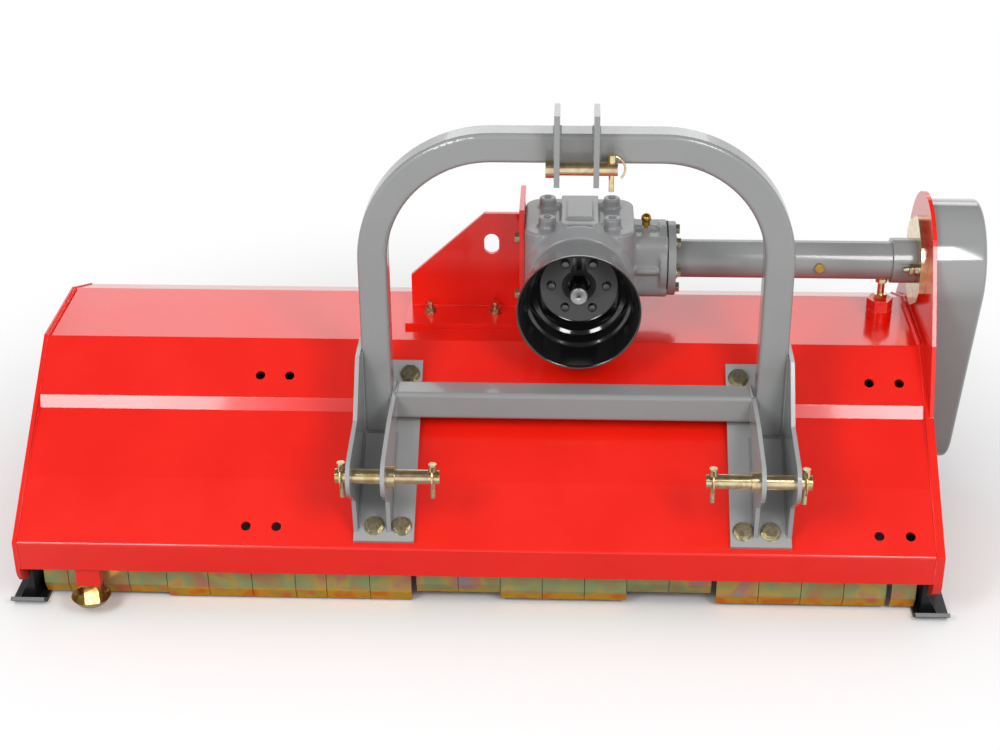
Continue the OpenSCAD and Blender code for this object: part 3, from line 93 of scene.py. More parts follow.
def settle(obj):
    """Puts the object's place, turn and scale into its mesh."""
    pick(obj)
    bpy.ops.object.transform_apply(location=True, rotation=True, scale=True)
    return obj


def modify(obj, kind, **settings):
    """Adds one modifier with its settings and applies it."""
    pick(obj)
    m = obj.modifiers.new(kind.lower(), kind)
    for key, value in settings.items():
        setattr(m, key, value)
    bpy.ops.object.modifier_apply(modifier=m.name)
    return obj


def join(objs):
    pick(*objs)
    bpy.ops.object.join()
    return bpy.context.object


def copy_of(obj):
    """A new object on a copy of the mesh."""
    twin = bpy.data.objects.new(obj.name, obj.data.copy())
    bpy.context.scene.collection.objects.link(twin)
    return twin


def put(obj, place, turn=Matrix.Identity(4)):
    """Turns a mesh drawn at the origin and moves it to a place of the part's source."""
    obj.data.transform(Matrix.Translation(at(*place)) @ turn)
    return obj


def mend_faces(obj):
    """Merges doubles and points all faces outwards."""
    pick(obj)
    bpy.ops.object.mode_set(mode="EDIT")
    bpy.ops.mesh.select_all(action="SELECT")
    bpy.ops.mesh.remove_doubles(threshold=0.01 * MM)
    bpy.ops.mesh.normals_make_consistent(inside=False)
    bpy.ops.object.mode_set(mode="OBJECT")
    return obj


def smooth(obj, angle=35):
    """Shades smooth, but for edges sharper than the angle."""
    pick(obj)
    bpy.ops.object.shade_smooth_by_angle(angle=math.radians(angle))
    return obj


def turned(profile, segments=96):
    """A ring extruded and scaled along a profile of (radius, height) in millimetres, about z."""
    deselect_all()
    r, h = profile[0]
    bpy.ops.mesh.primitive_circle_add(vertices=segments, radius=r * MM, location=(0, 0, h * MM))
    obj = settle(bpy.context.object)
    bpy.ops.object.mode_set(mode="EDIT")
    bpy.ops.mesh.select_all(action="SELECT")
    for r_next, h_next in profile[1:]:
        rise = (0, 0, (h_next - h) * MM)
        bpy.ops.mesh.extrude_edges_move(TRANSFORM_OT_translate={"value": rise})
        k = r_next / r
        bpy.ops.transform.resize(value=(k, k, 1), center_override=(0, 0, h_next * MM))
        r, h = r_next, h_next
    bpy.ops.object.mode_set(mode="OBJECT")
    return mend_faces(obj)


def box(size, place):
    """A block of that size about a place of the part's source."""
    deselect_all()
    bpy.ops.mesh.primitive_cube_add(size=1, location=at(*place))
    obj = bpy.context.object
    obj.scale = Vector(size) * MM
    return settle(obj)


def rod(d, length, place, axis, segments=48):
    """A bar with its middle at a place of the part's source: round, or hexagonal with 6 segments."""
    deselect_all()
    bpy.ops.mesh.primitive_cylinder_add(vertices=segments, radius=d * MM / 2, depth=length * MM,
                                        location=at(*place))
    obj = bpy.context.object
    obj.rotation_euler = Vector(axis).to_track_quat("Z", "Y").to_euler()
    return settle(obj)


def dress(obj, name, material, body=BODY_FIXED, stands_for=()):
    """Names a finished piece, gives it its finish and lets it ride on its body."""
    obj.name = name
    obj.data.name = name
    obj.data.materials.clear()
    obj.data.materials.append(material)
    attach(obj, body)
    if stands_for:
        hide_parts(*stands_for)
    return obj


# Materials. Orange peel and metal grain are drawn coarser than real, so that they show in the render.

CLOUD_MM = 140
FLAP_FILM_MM, FLAP_RUN_MM = 85, 38
PAINT_IOR, COAT_ROUGHNESS = 1.5, 0.06
BEVEL_SAMPLES = 4


def colour(code):
    """An sRGB hex value as linear red, green, blue and alpha."""
    parts = [int(code[i:i + 2], 16) / 255 for i in (1, 3, 5)]
    return [c / 12.92 if c <= 0.04045 else ((c + 0.055) / 1.055) ** 2.4 for c in parts] + [1]


def add(tree, kind, links=(), inputs=None, **settings):
    """One node with its settings, input values, and links given as (source socket, input name)."""
    node = tree.nodes.new(kind)
    for key, value in settings.items():
        setattr(node, key, value)
    for key, value in (inputs or {}).items():
        node.inputs[key].default_value = value
    for source, key in links:
        tree.links.new(source, node.inputs[key])
    return node


def per_metre(size_mm):
    """Scale of a noise whose grains are that wide."""
    return 1 / (size_mm * MM)


def start(name):
    """A material with its shader and the surface's own coordinates."""
    m = bpy.data.materials.new(name)
    m.use_nodes = True
    shader = m.node_tree.nodes["Principled BSDF"]
    where = add(m.node_tree, "ShaderNodeTexCoord").outputs["Object"]
    return m, m.node_tree, shader, where


def spread_tones(tree, source, tones, low=0.3, high=0.7):
    """A ramp with the tones spread evenly over a noise's usual range."""
    ramp = add(tree, "ShaderNodeValToRGB", [(source, "Fac")])
    while len(ramp.color_ramp.elements) < len(tones):
        ramp.color_ramp.elements.new(0.5)
    for i, code in enumerate(tones):
        ramp.color_ramp.elements[i].position = low + (high - low) * i / (len(tones) - 1)
        ramp.color_ramp.elements[i].color = colour(code)
    return ramp.outputs["Color"]


def skin(tree, shader, patches, rough, spread, relief, strength, depth_mm, edge=None):
    """Roughness that drifts with one noise, and the relief of another over softened edges."""
    gloss = add(tree, "ShaderNodeMapRange", [(patches, "Value")],
                {"To Min": rough - spread, "To Max": rough + spread})
    tree.links.new(gloss.outputs["Result"], shader.inputs["Roughness"])
    under = [(edge.outputs["Normal"], "Normal")] if edge else []
    bump = add(tree, "ShaderNodeBump", [(relief, "Height")] + under,
               {"Strength": strength, "Distance": depth_mm * MM})
    tree.links.new(bump.outputs["Normal"], shader.inputs["Normal"])


def paint(name, main, shade, peel_mm, rough, coat, peel=0.06):
    """Sprayed paint: faint clouds of two tones, orange peel, patchy gloss, and rounded-off edges."""
    m, tree, shader, where = start(name)
    edge = add(tree, "ShaderNodeBevel", inputs={"Radius": 1.2 * MM}, samples=BEVEL_SAMPLES)
    clouds = add(tree, "ShaderNodeTexNoise", [(where, "Vector")],
                 {"Scale": per_metre(CLOUD_MM), "Detail": 3}).outputs["Fac"]
    tree.links.new(spread_tones(tree, clouds, [shade, main], 0.35, 0.65), shader.inputs["Base Color"])
    grain = add(tree, "ShaderNodeTexNoise", [(where, "Vector")],
                {"Scale": per_metre(peel_mm), "Detail": 2}).outputs["Fac"]
    skin(tree, shader, clouds, rough, 0.05, grain, peel, 0.3, edge)
    tree.links.new(edge.outputs["Normal"], shader.inputs["Coat Normal"])
    shader.inputs["IOR"].default_value = PAINT_IOR
    shader.inputs["Coat Weight"].default_value = coat
    shader.inputs["Coat Roughness"].default_value = COAT_ROUGHNESS
    return m


def plated(name, tones, patch_mm, rough, grain_mm=1.2, grain=0.05):
    """Bare or plated metal: its thin film drifts between tones from patch to patch."""
    m, tree, shader, where = start(name)
    edge = add(tree, "ShaderNodeBevel", inputs={"Radius": 0.8 * MM}, samples=BEVEL_SAMPLES)
    film = add(tree, "ShaderNodeTexNoise", [(where, "Vector")],
               {"Scale": per_metre(patch_mm), "Detail": 1, "Distortion": 0.3}).outputs["Fac"]
    tree.links.new(spread_tones(tree, film, tones), shader.inputs["Base Color"])
    grains = add(tree, "ShaderNodeTexNoise", [(where, "Vector")],
                 {"Scale": per_metre(grain_mm), "Detail": 2}).outputs["Fac"]
    skin(tree, shader, grains, rough, 0.08, grains, grain, 0.2, edge)
    shader.inputs["Metallic"].default_value = 1
    return m


def rainbow(name, face_tones, lip_film_and_reflection_tones, lip_top_mm, rough, grain_mm):
    """Heavy passivation: broad soft tints, below the flap's bend a thicker film's orange and gold
    brightened as a painted reflection of the floor, and a pitted skin.
    """
    m, tree, shader, where = start(name)
    film = add(tree, "ShaderNodeTexNoise", [(where, "Vector")],
               {"Scale": per_metre(FLAP_FILM_MM), "Detail": 2, "Distortion": 0.3}).outputs["Fac"]
    runs = add(tree, "ShaderNodeTexNoise", [(where, "Vector")],
               {"Scale": per_metre(FLAP_RUN_MM), "Detail": 1}).outputs["Fac"]
    height = add(tree, "ShaderNodeSeparateXYZ", [(where, 0)]).outputs["Z"]
    # Below the bend the lip takes the brighter tones: its film's orange and gold, together with a painted
    # reflection of the pale floor it faces
    low = add(tree, "ShaderNodeMapRange", [(height, "Value")],
              {"From Min": (lip_top_mm - 3) * MM, "From Max": (lip_top_mm + 3) * MM,
               "To Min": 1.0, "To Max": 0.0})
    tint = add(tree, "ShaderNodeMix",
               [(low.outputs["Result"], 0), (spread_tones(tree, film, face_tones), 6),
                (spread_tones(tree, runs, lip_film_and_reflection_tones), 7)], data_type="RGBA")
    tree.links.new(tint.outputs[2], shader.inputs["Base Color"])
    pits = add(tree, "ShaderNodeTexNoise", [(where, "Vector")],
               {"Scale": per_metre(grain_mm), "Detail": 3}).outputs["Fac"]
    skin(tree, shader, pits, rough, 0.1, pits, 0.5, 0.3)
    # The thick chromate film scatters part of the light
    shader.inputs["Metallic"].default_value = 0.6
    return m


# Gloss red powder coat on folded sheet: even, saturated, with a fine orange peel and clear reflections
red_paint = paint("red powder coat", "#EE1A09", "#E81808", 3.5, 0.24, 0.5)
# Satin grey powder coat on tube and plate: flatter reflections
grey_paint = paint("grey powder coat", "#8F9090", "#8B8C8C", 3.0, 0.24, 0.5)
# The same coat on the hitch feet, painted a shade lighter as painted light, to make up for the shade that
# the cheeks cast on them
foot_paint_with_painted_light = paint("pale grey powder coat with painted light", "#A1A2A2", "#9D9E9E", 3.0, 0.24, 0.5)
# Gloss grey coat on the drawn belt cover: a sharper highlight along its bend. Its grey is painted a shade
# lighter than the hoop's, as painted light for the cover's darker lower part
cover_paint_with_painted_light = paint("gloss grey powder coat with painted light", "#979898", "#939494", 3.0, 0.15, 0.9, peel=0.04)
# Grey paint over a sand casting: the mould's grain shows through
cast_paint = paint("painted sand casting", "#959696", "#8A8B8D", 4.0, 0.36, 0.3, peel=0.45)
# Black paint on skids, rotor and roller
black_paint = paint("black chassis paint", "#1A1A1C", "#141416", 3.0, 0.35, 0.2)
# Black paint over the bearing castings
black_casting = paint("black painted casting", "#1E1E20", "#161618", 4.0, 0.45, 0.1, peel=0.3)
# Injection moulded black plastic of the guard, smooth and glossy
black_plastic = paint("glossy black moulding", "#0E0E0E", "#0B0B0B", 6.0, 0.14, 1.0, peel=0.03)
# Black rubber of the belts, the seal and the gasket: dull, with a fine grain
belt_rubber = paint("belt rubber", "#1B1B1B", "#232323", 2.0, 0.7, 0.0, peel=0.2)
# Yellow passivated zinc on pins: pale gold with pink and green drifts
yellow_zinc = plated("yellow passivated zinc", ["#D6BA84", "#ECDDB0", "#DEBA9A", "#DAD4AA"], 26, 0.2)
# The same film on bolt heads, duller from the wrench
bolt_zinc = plated("zinc plated bolts", ["#A8A27C", "#C6C4AA", "#B4A484", "#A8B08E"], 12, 0.3)
# Rainbow passivation on the flaps: grey olive, green and pink faces, orange and gold along the lip, where
# the film's tint is brightened as a painted reflection of the floor
rainbow_zinc = rainbow(
    "rainbow passivated zinc", ["#D8947A", "#CCA86C", "#AEBE86", "#E0BE68", "#DA9C82", "#B8AAB0"],
    ["#FF8C20", "#FFB634", "#E4BC40", "#FF8456"], 31, 0.4, 2.6)
# Plain brass of breather and plug
brass = plated("turned brass", ["#B58A3C", "#C79E52"], 12, 0.28)
# Ground steel of shafts, gears and bearings
bright_steel = plated("ground steel", ["#B9B9B9", "#C6C7C8"], 20, 0.22)
# Oiled splines, dark from handling
oiled_steel = plated("oiled steel", ["#4A4A4B", "#565758"], 18, 0.3)
# Turned end of the stub, matt from the tool
turned_steel = plated("turned steel", ["#A5A5A6", "#B2B3B4"], 8, 0.42, grain=0.15)
# Black oxide on the caps in the guard
black_oxide = plated("black oxide", ["#5A5A5C", "#6A6A6C"], 10, 0.34)
# Forged hammers with mill scale
forged_steel = plated("forged steel", ["#4A4038", "#5C5048", "#3C3836"], 14, 0.5, grain_mm=3, grain=0.3)
# Grey iron pulleys
pulley_iron = plated("grey iron", ["#5A5C5E", "#66686A"], 20, 0.42, grain_mm=2, grain=0.2)

# The record's material slots, and nodes that take a finish of their own
FINISHES = {
    "red_paint": red_paint, "grey_paint": grey_paint, "grey_casting": cast_paint,
    "yellow_zinc": yellow_zinc, "iridescent_zinc": rainbow_zinc, "brass": brass,
    "black_plastic": black_plastic, "bright_steel": bright_steel, "belt_rubber": belt_rubber,
    "black_casting": black_casting, "black_paint": black_paint, "forged_steel": forged_steel,
    "pulley_iron": pulley_iron}
OWN_FINISHES = {
    "hex_bolts": bolt_zinc, "pto_shaft": oiled_steel,
    # The hitch feet take the lighter grey, which is painted light
    "left_hitch_foot": foot_paint_with_painted_light, "right_hitch_foot": foot_paint_with_painted_light}
for part in frame["record"]["subparts"]:
    node = nodes[part["node"]]
    node.data.materials.clear()
    node.data.materials.append(OWN_FINISHES.get(part["node"], FINISHES[part["material_slot"]]))

# Guard round the splined stub: a black cup that narrows in two shallow steps to its bolted back
GUARD_RIM_Y, GUARD_FLOOR, GUARD_HOLE_R = 229, 122, 33
guard = turned([
    (118, 0), (118, 5), (116, 8), (99, 118), (96, 126), (88, 130), (GUARD_HOLE_R, 130),
    (GUARD_HOLE_R, GUARD_FLOOR), (74, GUARD_FLOOR), (77, 120.5), (79, 117), (82, 96), (84, 93),
    (90, 91), (92, 88), (95, 68), (97, 65), (101, 63), (103, 60), (113, 5), (114, 2), (116, 0),
    (118, 0)])
put(guard, (GEARBOX_X, GUARD_RIM_Y, DRIVE_Z), AWAY)
dress(smooth(guard, 50), "stub_guard", black_plastic, stands_for=["pto_guard"])

# Splined stub's end: a turned nose with a centre hole
STUB_TIP_Y = 301
nose = turned([(1.2, 1.5), (4.2, -1.2), (4.8, -1.6), (15.6, -1.6), (17.7, 0.4), (17.7, 4), (1.2, 4),
               (1.2, 1.5)], 64)
put(nose, (GEARBOX_X, STUB_TIP_Y, DRIVE_Z), AWAY)
dress(smooth(nose), "stub_nose", turned_steel, body="pto_shaft")

# Caps over the guard's bolts, in a ring on its floor
CAP_RING_R, CAP_STEP_DEG = 53, 60
cap = turned([(0.6, 0), (8.6, 0), (8.6, 4.2), (7.4, 6.6), (3.2, 7.8), (0.6, 7.9), (0.6, 0)], 24)
caps = []
for turn in range(0, 360, CAP_STEP_DEG):
    x, z = (CAP_RING_R * math.cos(math.radians(turn)), CAP_RING_R * math.sin(math.radians(turn)))
    caps.append(put(copy_of(cap), (GEARBOX_X + x, GUARD_RIM_Y + GUARD_FLOOR, DRIVE_Z + z), TOWARDS))
bpy.data.objects.remove(cap)
dress(smooth(join(caps)), "guard_bolt_caps", black_oxide)

# Seal round the splined stub, in the guard's hole
seal = turned([(GUARD_HOLE_R, 2), (GUARD_HOLE_R, 9), (21, 9), (21, 6), (24, 5), (30, 2),
               (GUARD_HOLE_R, 2)], 64)
put(seal, (GEARBOX_X, GUARD_RIM_Y + GUARD_FLOOR - 2, DRIVE_Z), AWAY)
dress(smooth(seal), "stub_seal", belt_rubber)

# Gearbox case: the bored solid with cast-on forms, blended into a casting's soft corners
CASE_TOP, NECK_X, NECK_R, VOXEL_MM = 638, GEARBOX_X + 132, 62, 2.4
case = mend_faces(copy_of(nodes["gearbox_housing"]))
# A pad with its raised panel, and ribs between the bosses on the lid
cast_on = [box((74, 150, 20), (GEARBOX_X, DRIVE_Y, CASE_TOP + 5)),
           box((50, 90, 8), (GEARBOX_X, DRIVE_Y - 6, CASE_TOP + 16))]
for y in (DRIVE_Y - 51, DRIVE_Y + 51):
    cast_on.append(box((150, 16, 14), (GEARBOX_X, y, CASE_TOP + 2)))
# Ribs along the output neck
for z in (DRIVE_Z + NECK_R, DRIVE_Z - NECK_R):
    cast_on.append(box((44, 12, 20), (NECK_X, DRIVE_Y, z)))
cast_on.append(box((44, 20, 12), (NECK_X, DRIVE_Y - NECK_R, DRIVE_Z)))
# Lugs on the front shoulder
for x in (-36, 36):
    cast_on.append(rod(24, 26, (GEARBOX_X + x, DRIVE_Y - 88, CASE_TOP + 6), (0, 1, 0.5)))
    cast_on.append(rod(26, 34, (GEARBOX_X + 0.9 * x, DRIVE_Y - 96, CASE_TOP - 14), (0, -0.35, 1)))
for form in [case] + cast_on:
    modify(form, "REMESH", mode="VOXEL", voxel_size=VOXEL_MM * MM)
case = join([case] + cast_on)
modify(case, "REMESH", mode="VOXEL", voxel_size=VOXEL_MM * MM)
modify(case, "SMOOTH", factor=0.5, iterations=6)
dress(smooth(case, 180), "gear_case", cast_paint, stands_for=["gearbox_housing"])

# Gasket between the two output flanges, a little proud of them
FLANGE_X, GASKET_R, GASKET_HOLE_R, GASKET_HALF_T = GEARBOX_X + 175, 74.7, 44, 0.9
gasket = turned([
    (GASKET_R, -GASKET_HALF_T), (GASKET_R, GASKET_HALF_T), (GASKET_HOLE_R, GASKET_HALF_T),
    (GASKET_HOLE_R, -GASKET_HALF_T), (GASKET_R, -GASKET_HALF_T)])
put(gasket, (FLANGE_X, DRIVE_Y, DRIVE_Z), RIGHTWARDS)
dress(smooth(gasket), "flange_gasket", belt_rubber)

# Belt cover: a deep-drawn shell over both pulleys, with a round outer edge and an open back
COVER_W, COVER_EDGE_R = 100, 9
cover = mend_faces(copy_of(nodes["belt_cover"]))
bpy.ops.object.mode_set(mode="EDIT")
bpy.ops.mesh.select_all(action="SELECT")
bpy.ops.mesh.dissolve_limited(angle_limit=math.radians(0.2))
bpy.ops.mesh.select_all(action="DESELECT")
bpy.ops.object.mode_set(mode="OBJECT")
outer = at(RIGHT_X + COVER_W, 0, 0).x
for edge in cover.data.edges:
    edge.select = all(abs(cover.data.vertices[v].co.x - outer) < MM / 10 for v in edge.vertices)
bpy.ops.object.mode_set(mode="EDIT")
bpy.ops.mesh.select_mode(type="EDGE")
bpy.ops.mesh.bevel(offset=COVER_EDGE_R * MM, segments=6)
bpy.ops.object.mode_set(mode="OBJECT")
# The cover's grey is painted a shade lighter than the hoop's, as painted light
dress(smooth(cover, 30), "drawn_belt_cover", cover_paint_with_painted_light, stands_for=["belt_cover"])

# Lock nut of the tension screw, on its boss
TENSION_X, BOSS_TOP = 615, 467
nut = turned([(7.4, 0.2), (12.6, 0.2), (14.2, 1.6), (14.2, 9), (12.6, 10.4), (7.4, 10.4), (7.4, 0.2)], 6)
put(nut, (TENSION_X, DRIVE_Y, BOSS_TOP))
dress(nut, "tension_lock_nut", yellow_zinc)

# Bolt ends that stand out of their nuts on the bracket's foot, and one with its nut on the tension plate
FOOT_BOLT_X, FOOT_BOLT_Y, FOOT_BOLT_Z = (-292, -160), (470, 539), 449
PLATE_BOLT_Y, PLATE_BOLT_Z = 417, 562.5
ends = [rod(11, 14, (x, y, FOOT_BOLT_Z), (0, 0, 1), 24) for x in FOOT_BOLT_X for y in FOOT_BOLT_Y]
ends.append(rod(12, 24, (653, PLATE_BOLT_Y, PLATE_BOLT_Z), (1, 0, 0), 24))
ends.append(rod(25, 11, (658, PLATE_BOLT_Y, PLATE_BOLT_Z), (1, 0, 0), 6))
bolt_ends = modify(join(ends), "BEVEL", width=0.9 * MM, segments=2, limit_method="ANGLE")
dress(smooth(bolt_ends), "bolt_ends", bolt_zinc)

# Weld beads: one ripple, repeated along each seam
RIPPLE_STEP_SHARE, RIPPLE_LENGTH_SHARE = 0.5, 0.62


def bead(start_at, end_at, width):
    """A row of overlapping ripples from one place of the part's source to another."""
    first, last = at(*start_at), at(*end_at)
    run = last - first
    count = max(2, int(run.length / (RIPPLE_STEP_SHARE * width * MM)))
    deselect_all()
    bpy.ops.mesh.primitive_uv_sphere_add(segments=8, ring_count=6, radius=width * MM / 2)
    obj = bpy.context.object
    obj.scale = (RIPPLE_LENGTH_SHARE, 1, 1)
    settle(obj)
    modify(obj, "ARRAY", count=count, use_relative_offset=False, use_constant_offset=True,
           constant_offset_displace=(run.length / count, 0, 0))
    along = run.to_track_quat("X", "Z").to_matrix().to_4x4()
    obj.data.transform(Matrix.Translation(first) @ along)
    return obj


def on_foot(x, y):
    """A place on the top face of a hitch foot's base plate."""
    return (x, y, slope_z(y) + FOOT_FACE / math.cos(SLOPE_A))


# Hitch: cheeks on their feet, legs between the cheeks, cross bar, and top-link ears on the hoop
HOOP_Y, HOOP_TUBE, HOOP_TOP_Z, BAR_Z = 188, 55, 920, 368
LEG_OUT, LEG_IN, CHEEK_IN, EAR_FACES = 402, 347, 339, (30, 40)
FOOT_FACE, FOOT_WELD_Y, CHEEK_WELD_RISE = 12.5, 26, 18
OUTER_CHEEK_WELD_TOP, INNER_CHEEK_WELD_TOP = 486, 390
HITCH_BEAD, DECK_BEAD = 6, 5
bar_top, bar_low = BAR_Z + HOOP_TUBE / 2, BAR_Z - HOOP_TUBE / 2
leg_front, leg_foot = HOOP_Y - 2, slope_z(HOOP_Y) + CHEEK_WELD_RISE
seams = []
for side in (-1, 1):
    outside, inside, cheek = side * (LEG_OUT - 1), side * (LEG_IN + 1), side * CHEEK_IN
    for x in (side * (CHEEK_IN - 1), inside, outside):
        seams.append((on_foot(x, FOOT_WELD_Y), on_foot(x, leg_front)))
    seams.append((on_foot(side * LEG_IN, leg_front), on_foot(side * LEG_OUT, leg_front)))
    seams.append(((outside, HOOP_Y, leg_foot), (outside, HOOP_Y, OUTER_CHEEK_WELD_TOP)))
    seams.append(((inside, HOOP_Y, leg_foot), (inside, HOOP_Y, INNER_CHEEK_WELD_TOP)))
    seams.append(((cheek, HOOP_Y + 1, bar_low + 6), (cheek, HOOP_Y + 1, bar_top - 4)))
    seams.append(((cheek, HOOP_Y + 4, bar_top), (cheek, HOOP_Y + HOOP_TUBE - 4, bar_top)))
    for x in (side * face for face in EAR_FACES):
        seams.append(((x, HOOP_Y, HOOP_TOP_Z - HOOP_TUBE + 6), (x, HOOP_Y, HOOP_TOP_Z - 8)))
        seams.append(((x, HOOP_Y + 8, HOOP_TOP_Z), (x, HOOP_Y + HOOP_TUBE - 8, HOOP_TOP_Z)))
beads = [bead(a, b, HITCH_BEAD) for a, b in seams]
dress(smooth(join(beads), 60), "hitch_welds", grey_paint)

# Deck: the bracket on its foot, and the sheet against both side plates along its middle line,
# which runs over the slope, the step, the flat top and the tail
BRACKET_X, BRACKET_LEFT_X, BRACKET_Y, BRACKET_T = -110, -330, 425, 10
BRACKET_FOOT_Z, BRACKET_WELD_TOP, STIFFENER_Y = DECK_Z + BRACKET_T, 636, 498
TOP_Z = DECK_Z - SHEET_T / 2
DECK_LINE = [(10, slope_z(10)), (114, slope_z(114)), (243, 323), (257, 345), (SLOPE_RUN, TOP_Z),
             (TOP_BACK_Y, TOP_Z), (701, 375.5)]
SEAM_LEFT_X, SEAM_RIGHT_X, PLATE_SEAM_X = LEFT_X + SIDE_T, RIGHT_X - 2 * SIDE_T, RIGHT_X - SIDE_T
# Thick beads along the flat top's two ends
beads = [bead((SEAM_RIGHT_X - 1, 364, DECK_Z + 2), (SEAM_RIGHT_X - 1, 552, DECK_Z + 2), 13),
         bead((SEAM_LEFT_X, 364, DECK_Z + 1), (SEAM_LEFT_X, 580, DECK_Z + 1), 10)]
seams = []
for end in ((BRACKET_LEFT_X, BRACKET_FOOT_Z), (BRACKET_X, BRACKET_WELD_TOP)):
    for y in (STIFFENER_Y, STIFFENER_Y + BRACKET_T):
        seams.append(((BRACKET_X, y, BRACKET_FOOT_Z), (end[0], y, end[1])))
seams.append(((BRACKET_X, BRACKET_Y, BRACKET_FOOT_Z), (BRACKET_X, STIFFENER_Y, BRACKET_FOOT_Z)))
seams.append(((PLATE_SEAM_X, 362, DECK_Z + 2), (PLATE_SEAM_X, TOP_BACK_Y, DECK_Z + 2)))
for x in (SEAM_LEFT_X, SEAM_RIGHT_X):
    for (y0, z0), (y1, z1) in zip(DECK_LINE, DECK_LINE[1:]):
        lift = SHEET_T / 2 * math.hypot(y1 - y0, z1 - z0) / (y1 - y0)
        seams.append(((x, y0, z0 + lift), (x, y1, z1 + lift)))
    seams.append(((x, 0, LIP_Z + 4), (x, 0, FOLD_Z - 2)))
beads += [bead(a, b, DECK_BEAD) for a, b in seams]
dress(smooth(join(beads), 60), "deck_welds", red_paint)

# Camera: fitted to the deck's corners in the photograph, which is taken as 1000 by 750
CAMERA_PLACE = (0.1423, -3.2768, 2.0543)
PITCH, YAW, ROLL = math.radians(27.88), math.radians(-2.53), math.radians(-0.44)
FOCAL_PX, IMAGE_W, SENSOR_W = 1823.8, 1000, 36
ahead = Vector((math.sin(YAW) * math.cos(PITCH), math.cos(YAW) * math.cos(PITCH), -math.sin(PITCH)))
level = Vector((math.cos(YAW), -math.sin(YAW), 0))
upright = level.cross(ahead)
right = math.cos(ROLL) * level + math.sin(ROLL) * upright
up = -math.sin(ROLL) * level + math.cos(ROLL) * upright
camera = bpy.data.objects.new("camera", bpy.data.cameras.new("camera"))
camera.data.sensor_width = SENSOR_W
camera.data.lens = FOCAL_PX / IMAGE_W * SENSOR_W
facing = Matrix((right, up, -ahead)).transposed().to_4x4()
camera.matrix_world = Matrix.Translation(CAMERA_PLACE) @ facing
bpy.context.scene.collection.objects.link(camera)
bpy.context.scene.camera = camera

# Studio: a pale floor that fades into a white surround, two soft boxes in front and a strip behind the deck
FLOOR_SIZE, SHADOW_R, WHITE_R = 40, 0.75, 1.7
PAPER_SEEN, PAPER_LIT, WHITE_LIT = "#F9F9F9", "#9A9A9A", 0.3
FILL_FRONT, FILL_BACK, CEILING = 0.76, 0.42, 0.12


def mirrored(tree, ray):
    """One for rays that metal or glass sends on, and none for the rest."""
    return add(tree, "ShaderNodeMath",
               [(ray.outputs["Is Glossy Ray"], 0), (ray.outputs["Is Transmission Ray"], 1)],
               operation="MAXIMUM").outputs[0]


deselect_all()
bpy.ops.mesh.primitive_plane_add(size=FLOOR_SIZE, location=(0, 0, -1 * MM))
floor = bpy.context.object
floor.name = "studio_floor"
floor_paper, tree, shader, where = start("white studio paper")
ray = add(tree, "ShaderNodeLightPath")
paper = add(tree, "ShaderNodeMix", [(ray.outputs["Is Camera Ray"], 0)],
            {6: colour(PAPER_LIT), 7: colour(PAPER_SEEN)}, data_type="RGBA")
tree.links.new(paper.outputs[2], shader.inputs["Base Color"])
shader.inputs["Roughness"].default_value = 0.9
shader.inputs["Specular IOR Level"].default_value = 0.1
# Near the object the paper takes shadows; further off it is as white as the surround,
# and it throws little light back up under the object
away = add(tree, "ShaderNodeVectorMath", [(where, 0)], operation="LENGTH")
fade = add(tree, "ShaderNodeMapRange", [(away.outputs["Value"], "Value")],
           {"From Min": SHADOW_R, "From Max": WHITE_R}, interpolation_type="SMOOTHSTEP")
bright = add(tree, "ShaderNodeMath", [(ray.outputs["Is Camera Ray"], 0), (mirrored(tree, ray), 1)],
             operation="MAXIMUM")
level_seen = add(tree, "ShaderNodeMapRange", [(bright.outputs[0], "Value")],
                 {"To Min": WHITE_LIT, "To Max": 1.0})
white = add(tree, "ShaderNodeEmission", [(level_seen.outputs["Result"], "Strength")])
blend = add(tree, "ShaderNodeMixShader", [(fade.outputs["Result"], 0), (shader.outputs["BSDF"], 1),
                                          (white.outputs["Emission"], 2)])
tree.links.new(blend.outputs["Shader"], tree.nodes["Material Output"].inputs["Surface"])
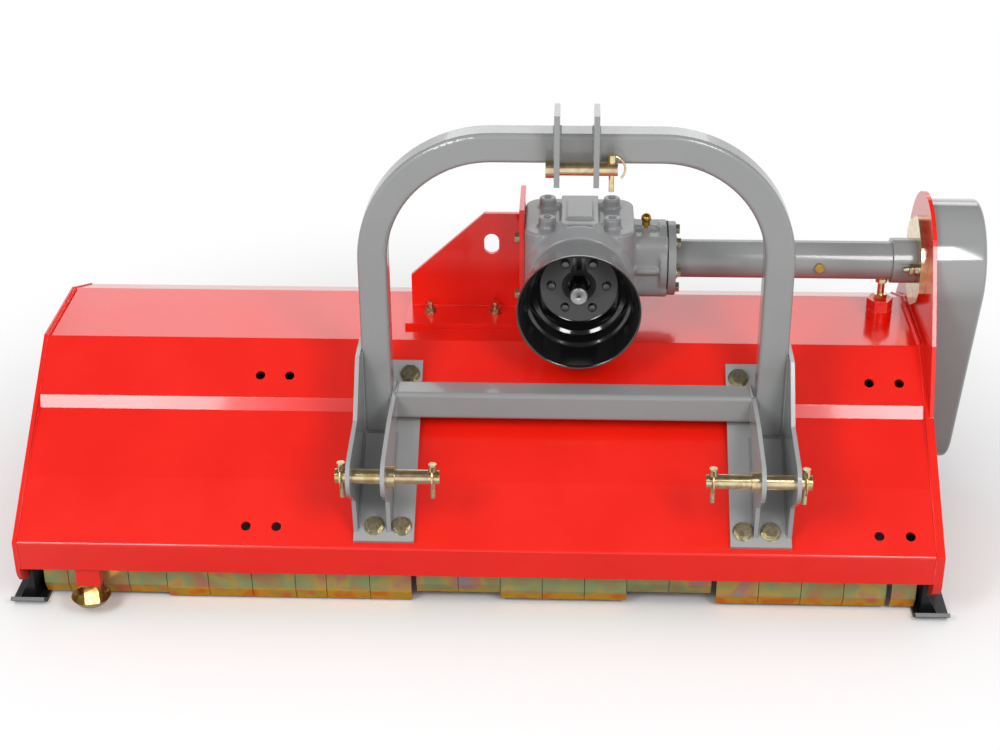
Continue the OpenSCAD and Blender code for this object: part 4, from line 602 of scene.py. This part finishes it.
floor.data.materials.append(floor_paper)

# The surround is white to the camera, white near the horizon in reflections with a dim ceiling above,
# and gives a fill, stronger from the front, to everything else
world = bpy.data.worlds.new("studio")
bpy.context.scene.world = world
world.use_nodes = True
tree = world.node_tree
background = tree.nodes["Background"]
background.inputs["Color"].default_value = (1, 1, 1, 1)
ray = add(tree, "ShaderNodeLightPath")
sky = add(tree, "ShaderNodeSeparateXYZ", [(add(tree, "ShaderNodeTexCoord").outputs["Generated"], 0)])
ceiling = add(tree, "ShaderNodeMapRange", [(sky.outputs["Z"], "Value")],
              {"From Min": 0.22, "From Max": 0.52, "To Min": 1.0, "To Max": CEILING},
              interpolation_type="SMOOTHSTEP")
around = add(tree, "ShaderNodeMapRange", [(sky.outputs["Y"], "Value")],
             {"From Min": -0.4, "From Max": 0.4, "To Min": FILL_FRONT, "To Max": FILL_BACK})
fill = add(tree, "ShaderNodeMix", [(mirrored(tree, ray), "Factor"), (around.outputs["Result"], "A"),
                                   (ceiling.outputs["Result"], "B")])
seen = add(tree, "ShaderNodeMix", [(ray.outputs["Is Camera Ray"], "Factor"),
                                   (fill.outputs["Result"], "A")], {"B": 1.0})
tree.links.new(seen.outputs["Result"], background.inputs["Strength"])


def soft_box(name, place, aim, width, height, power):
    """A rectangular lamp in metres and watts, turned towards a point."""
    light = bpy.data.lights.new(name, "AREA")
    light.shape, light.size, light.size_y, light.energy = "RECTANGLE", width, height, power
    obj = bpy.data.objects.new(name, light)
    obj.location = place
    obj.rotation_euler = (Vector(aim) - Vector(place)).to_track_quat("-Z", "Y").to_euler()
    bpy.context.scene.collection.objects.link(obj)


soft_box("left soft box", (-1.55, -2.7, 2.6), (0, 0.1, 0.35), 0.9, 1.4, 48)
soft_box("right soft box", (1.5, -2.7, 2.6), (0.1, 0.1, 0.35), 0.9, 1.4, 48)
soft_box("rear strip", (0, 3.6, 2.3), (0, 0.1, 0.42), 4.2, 0.9, 19)

bpy.context.scene.view_settings.view_transform = "Standard"
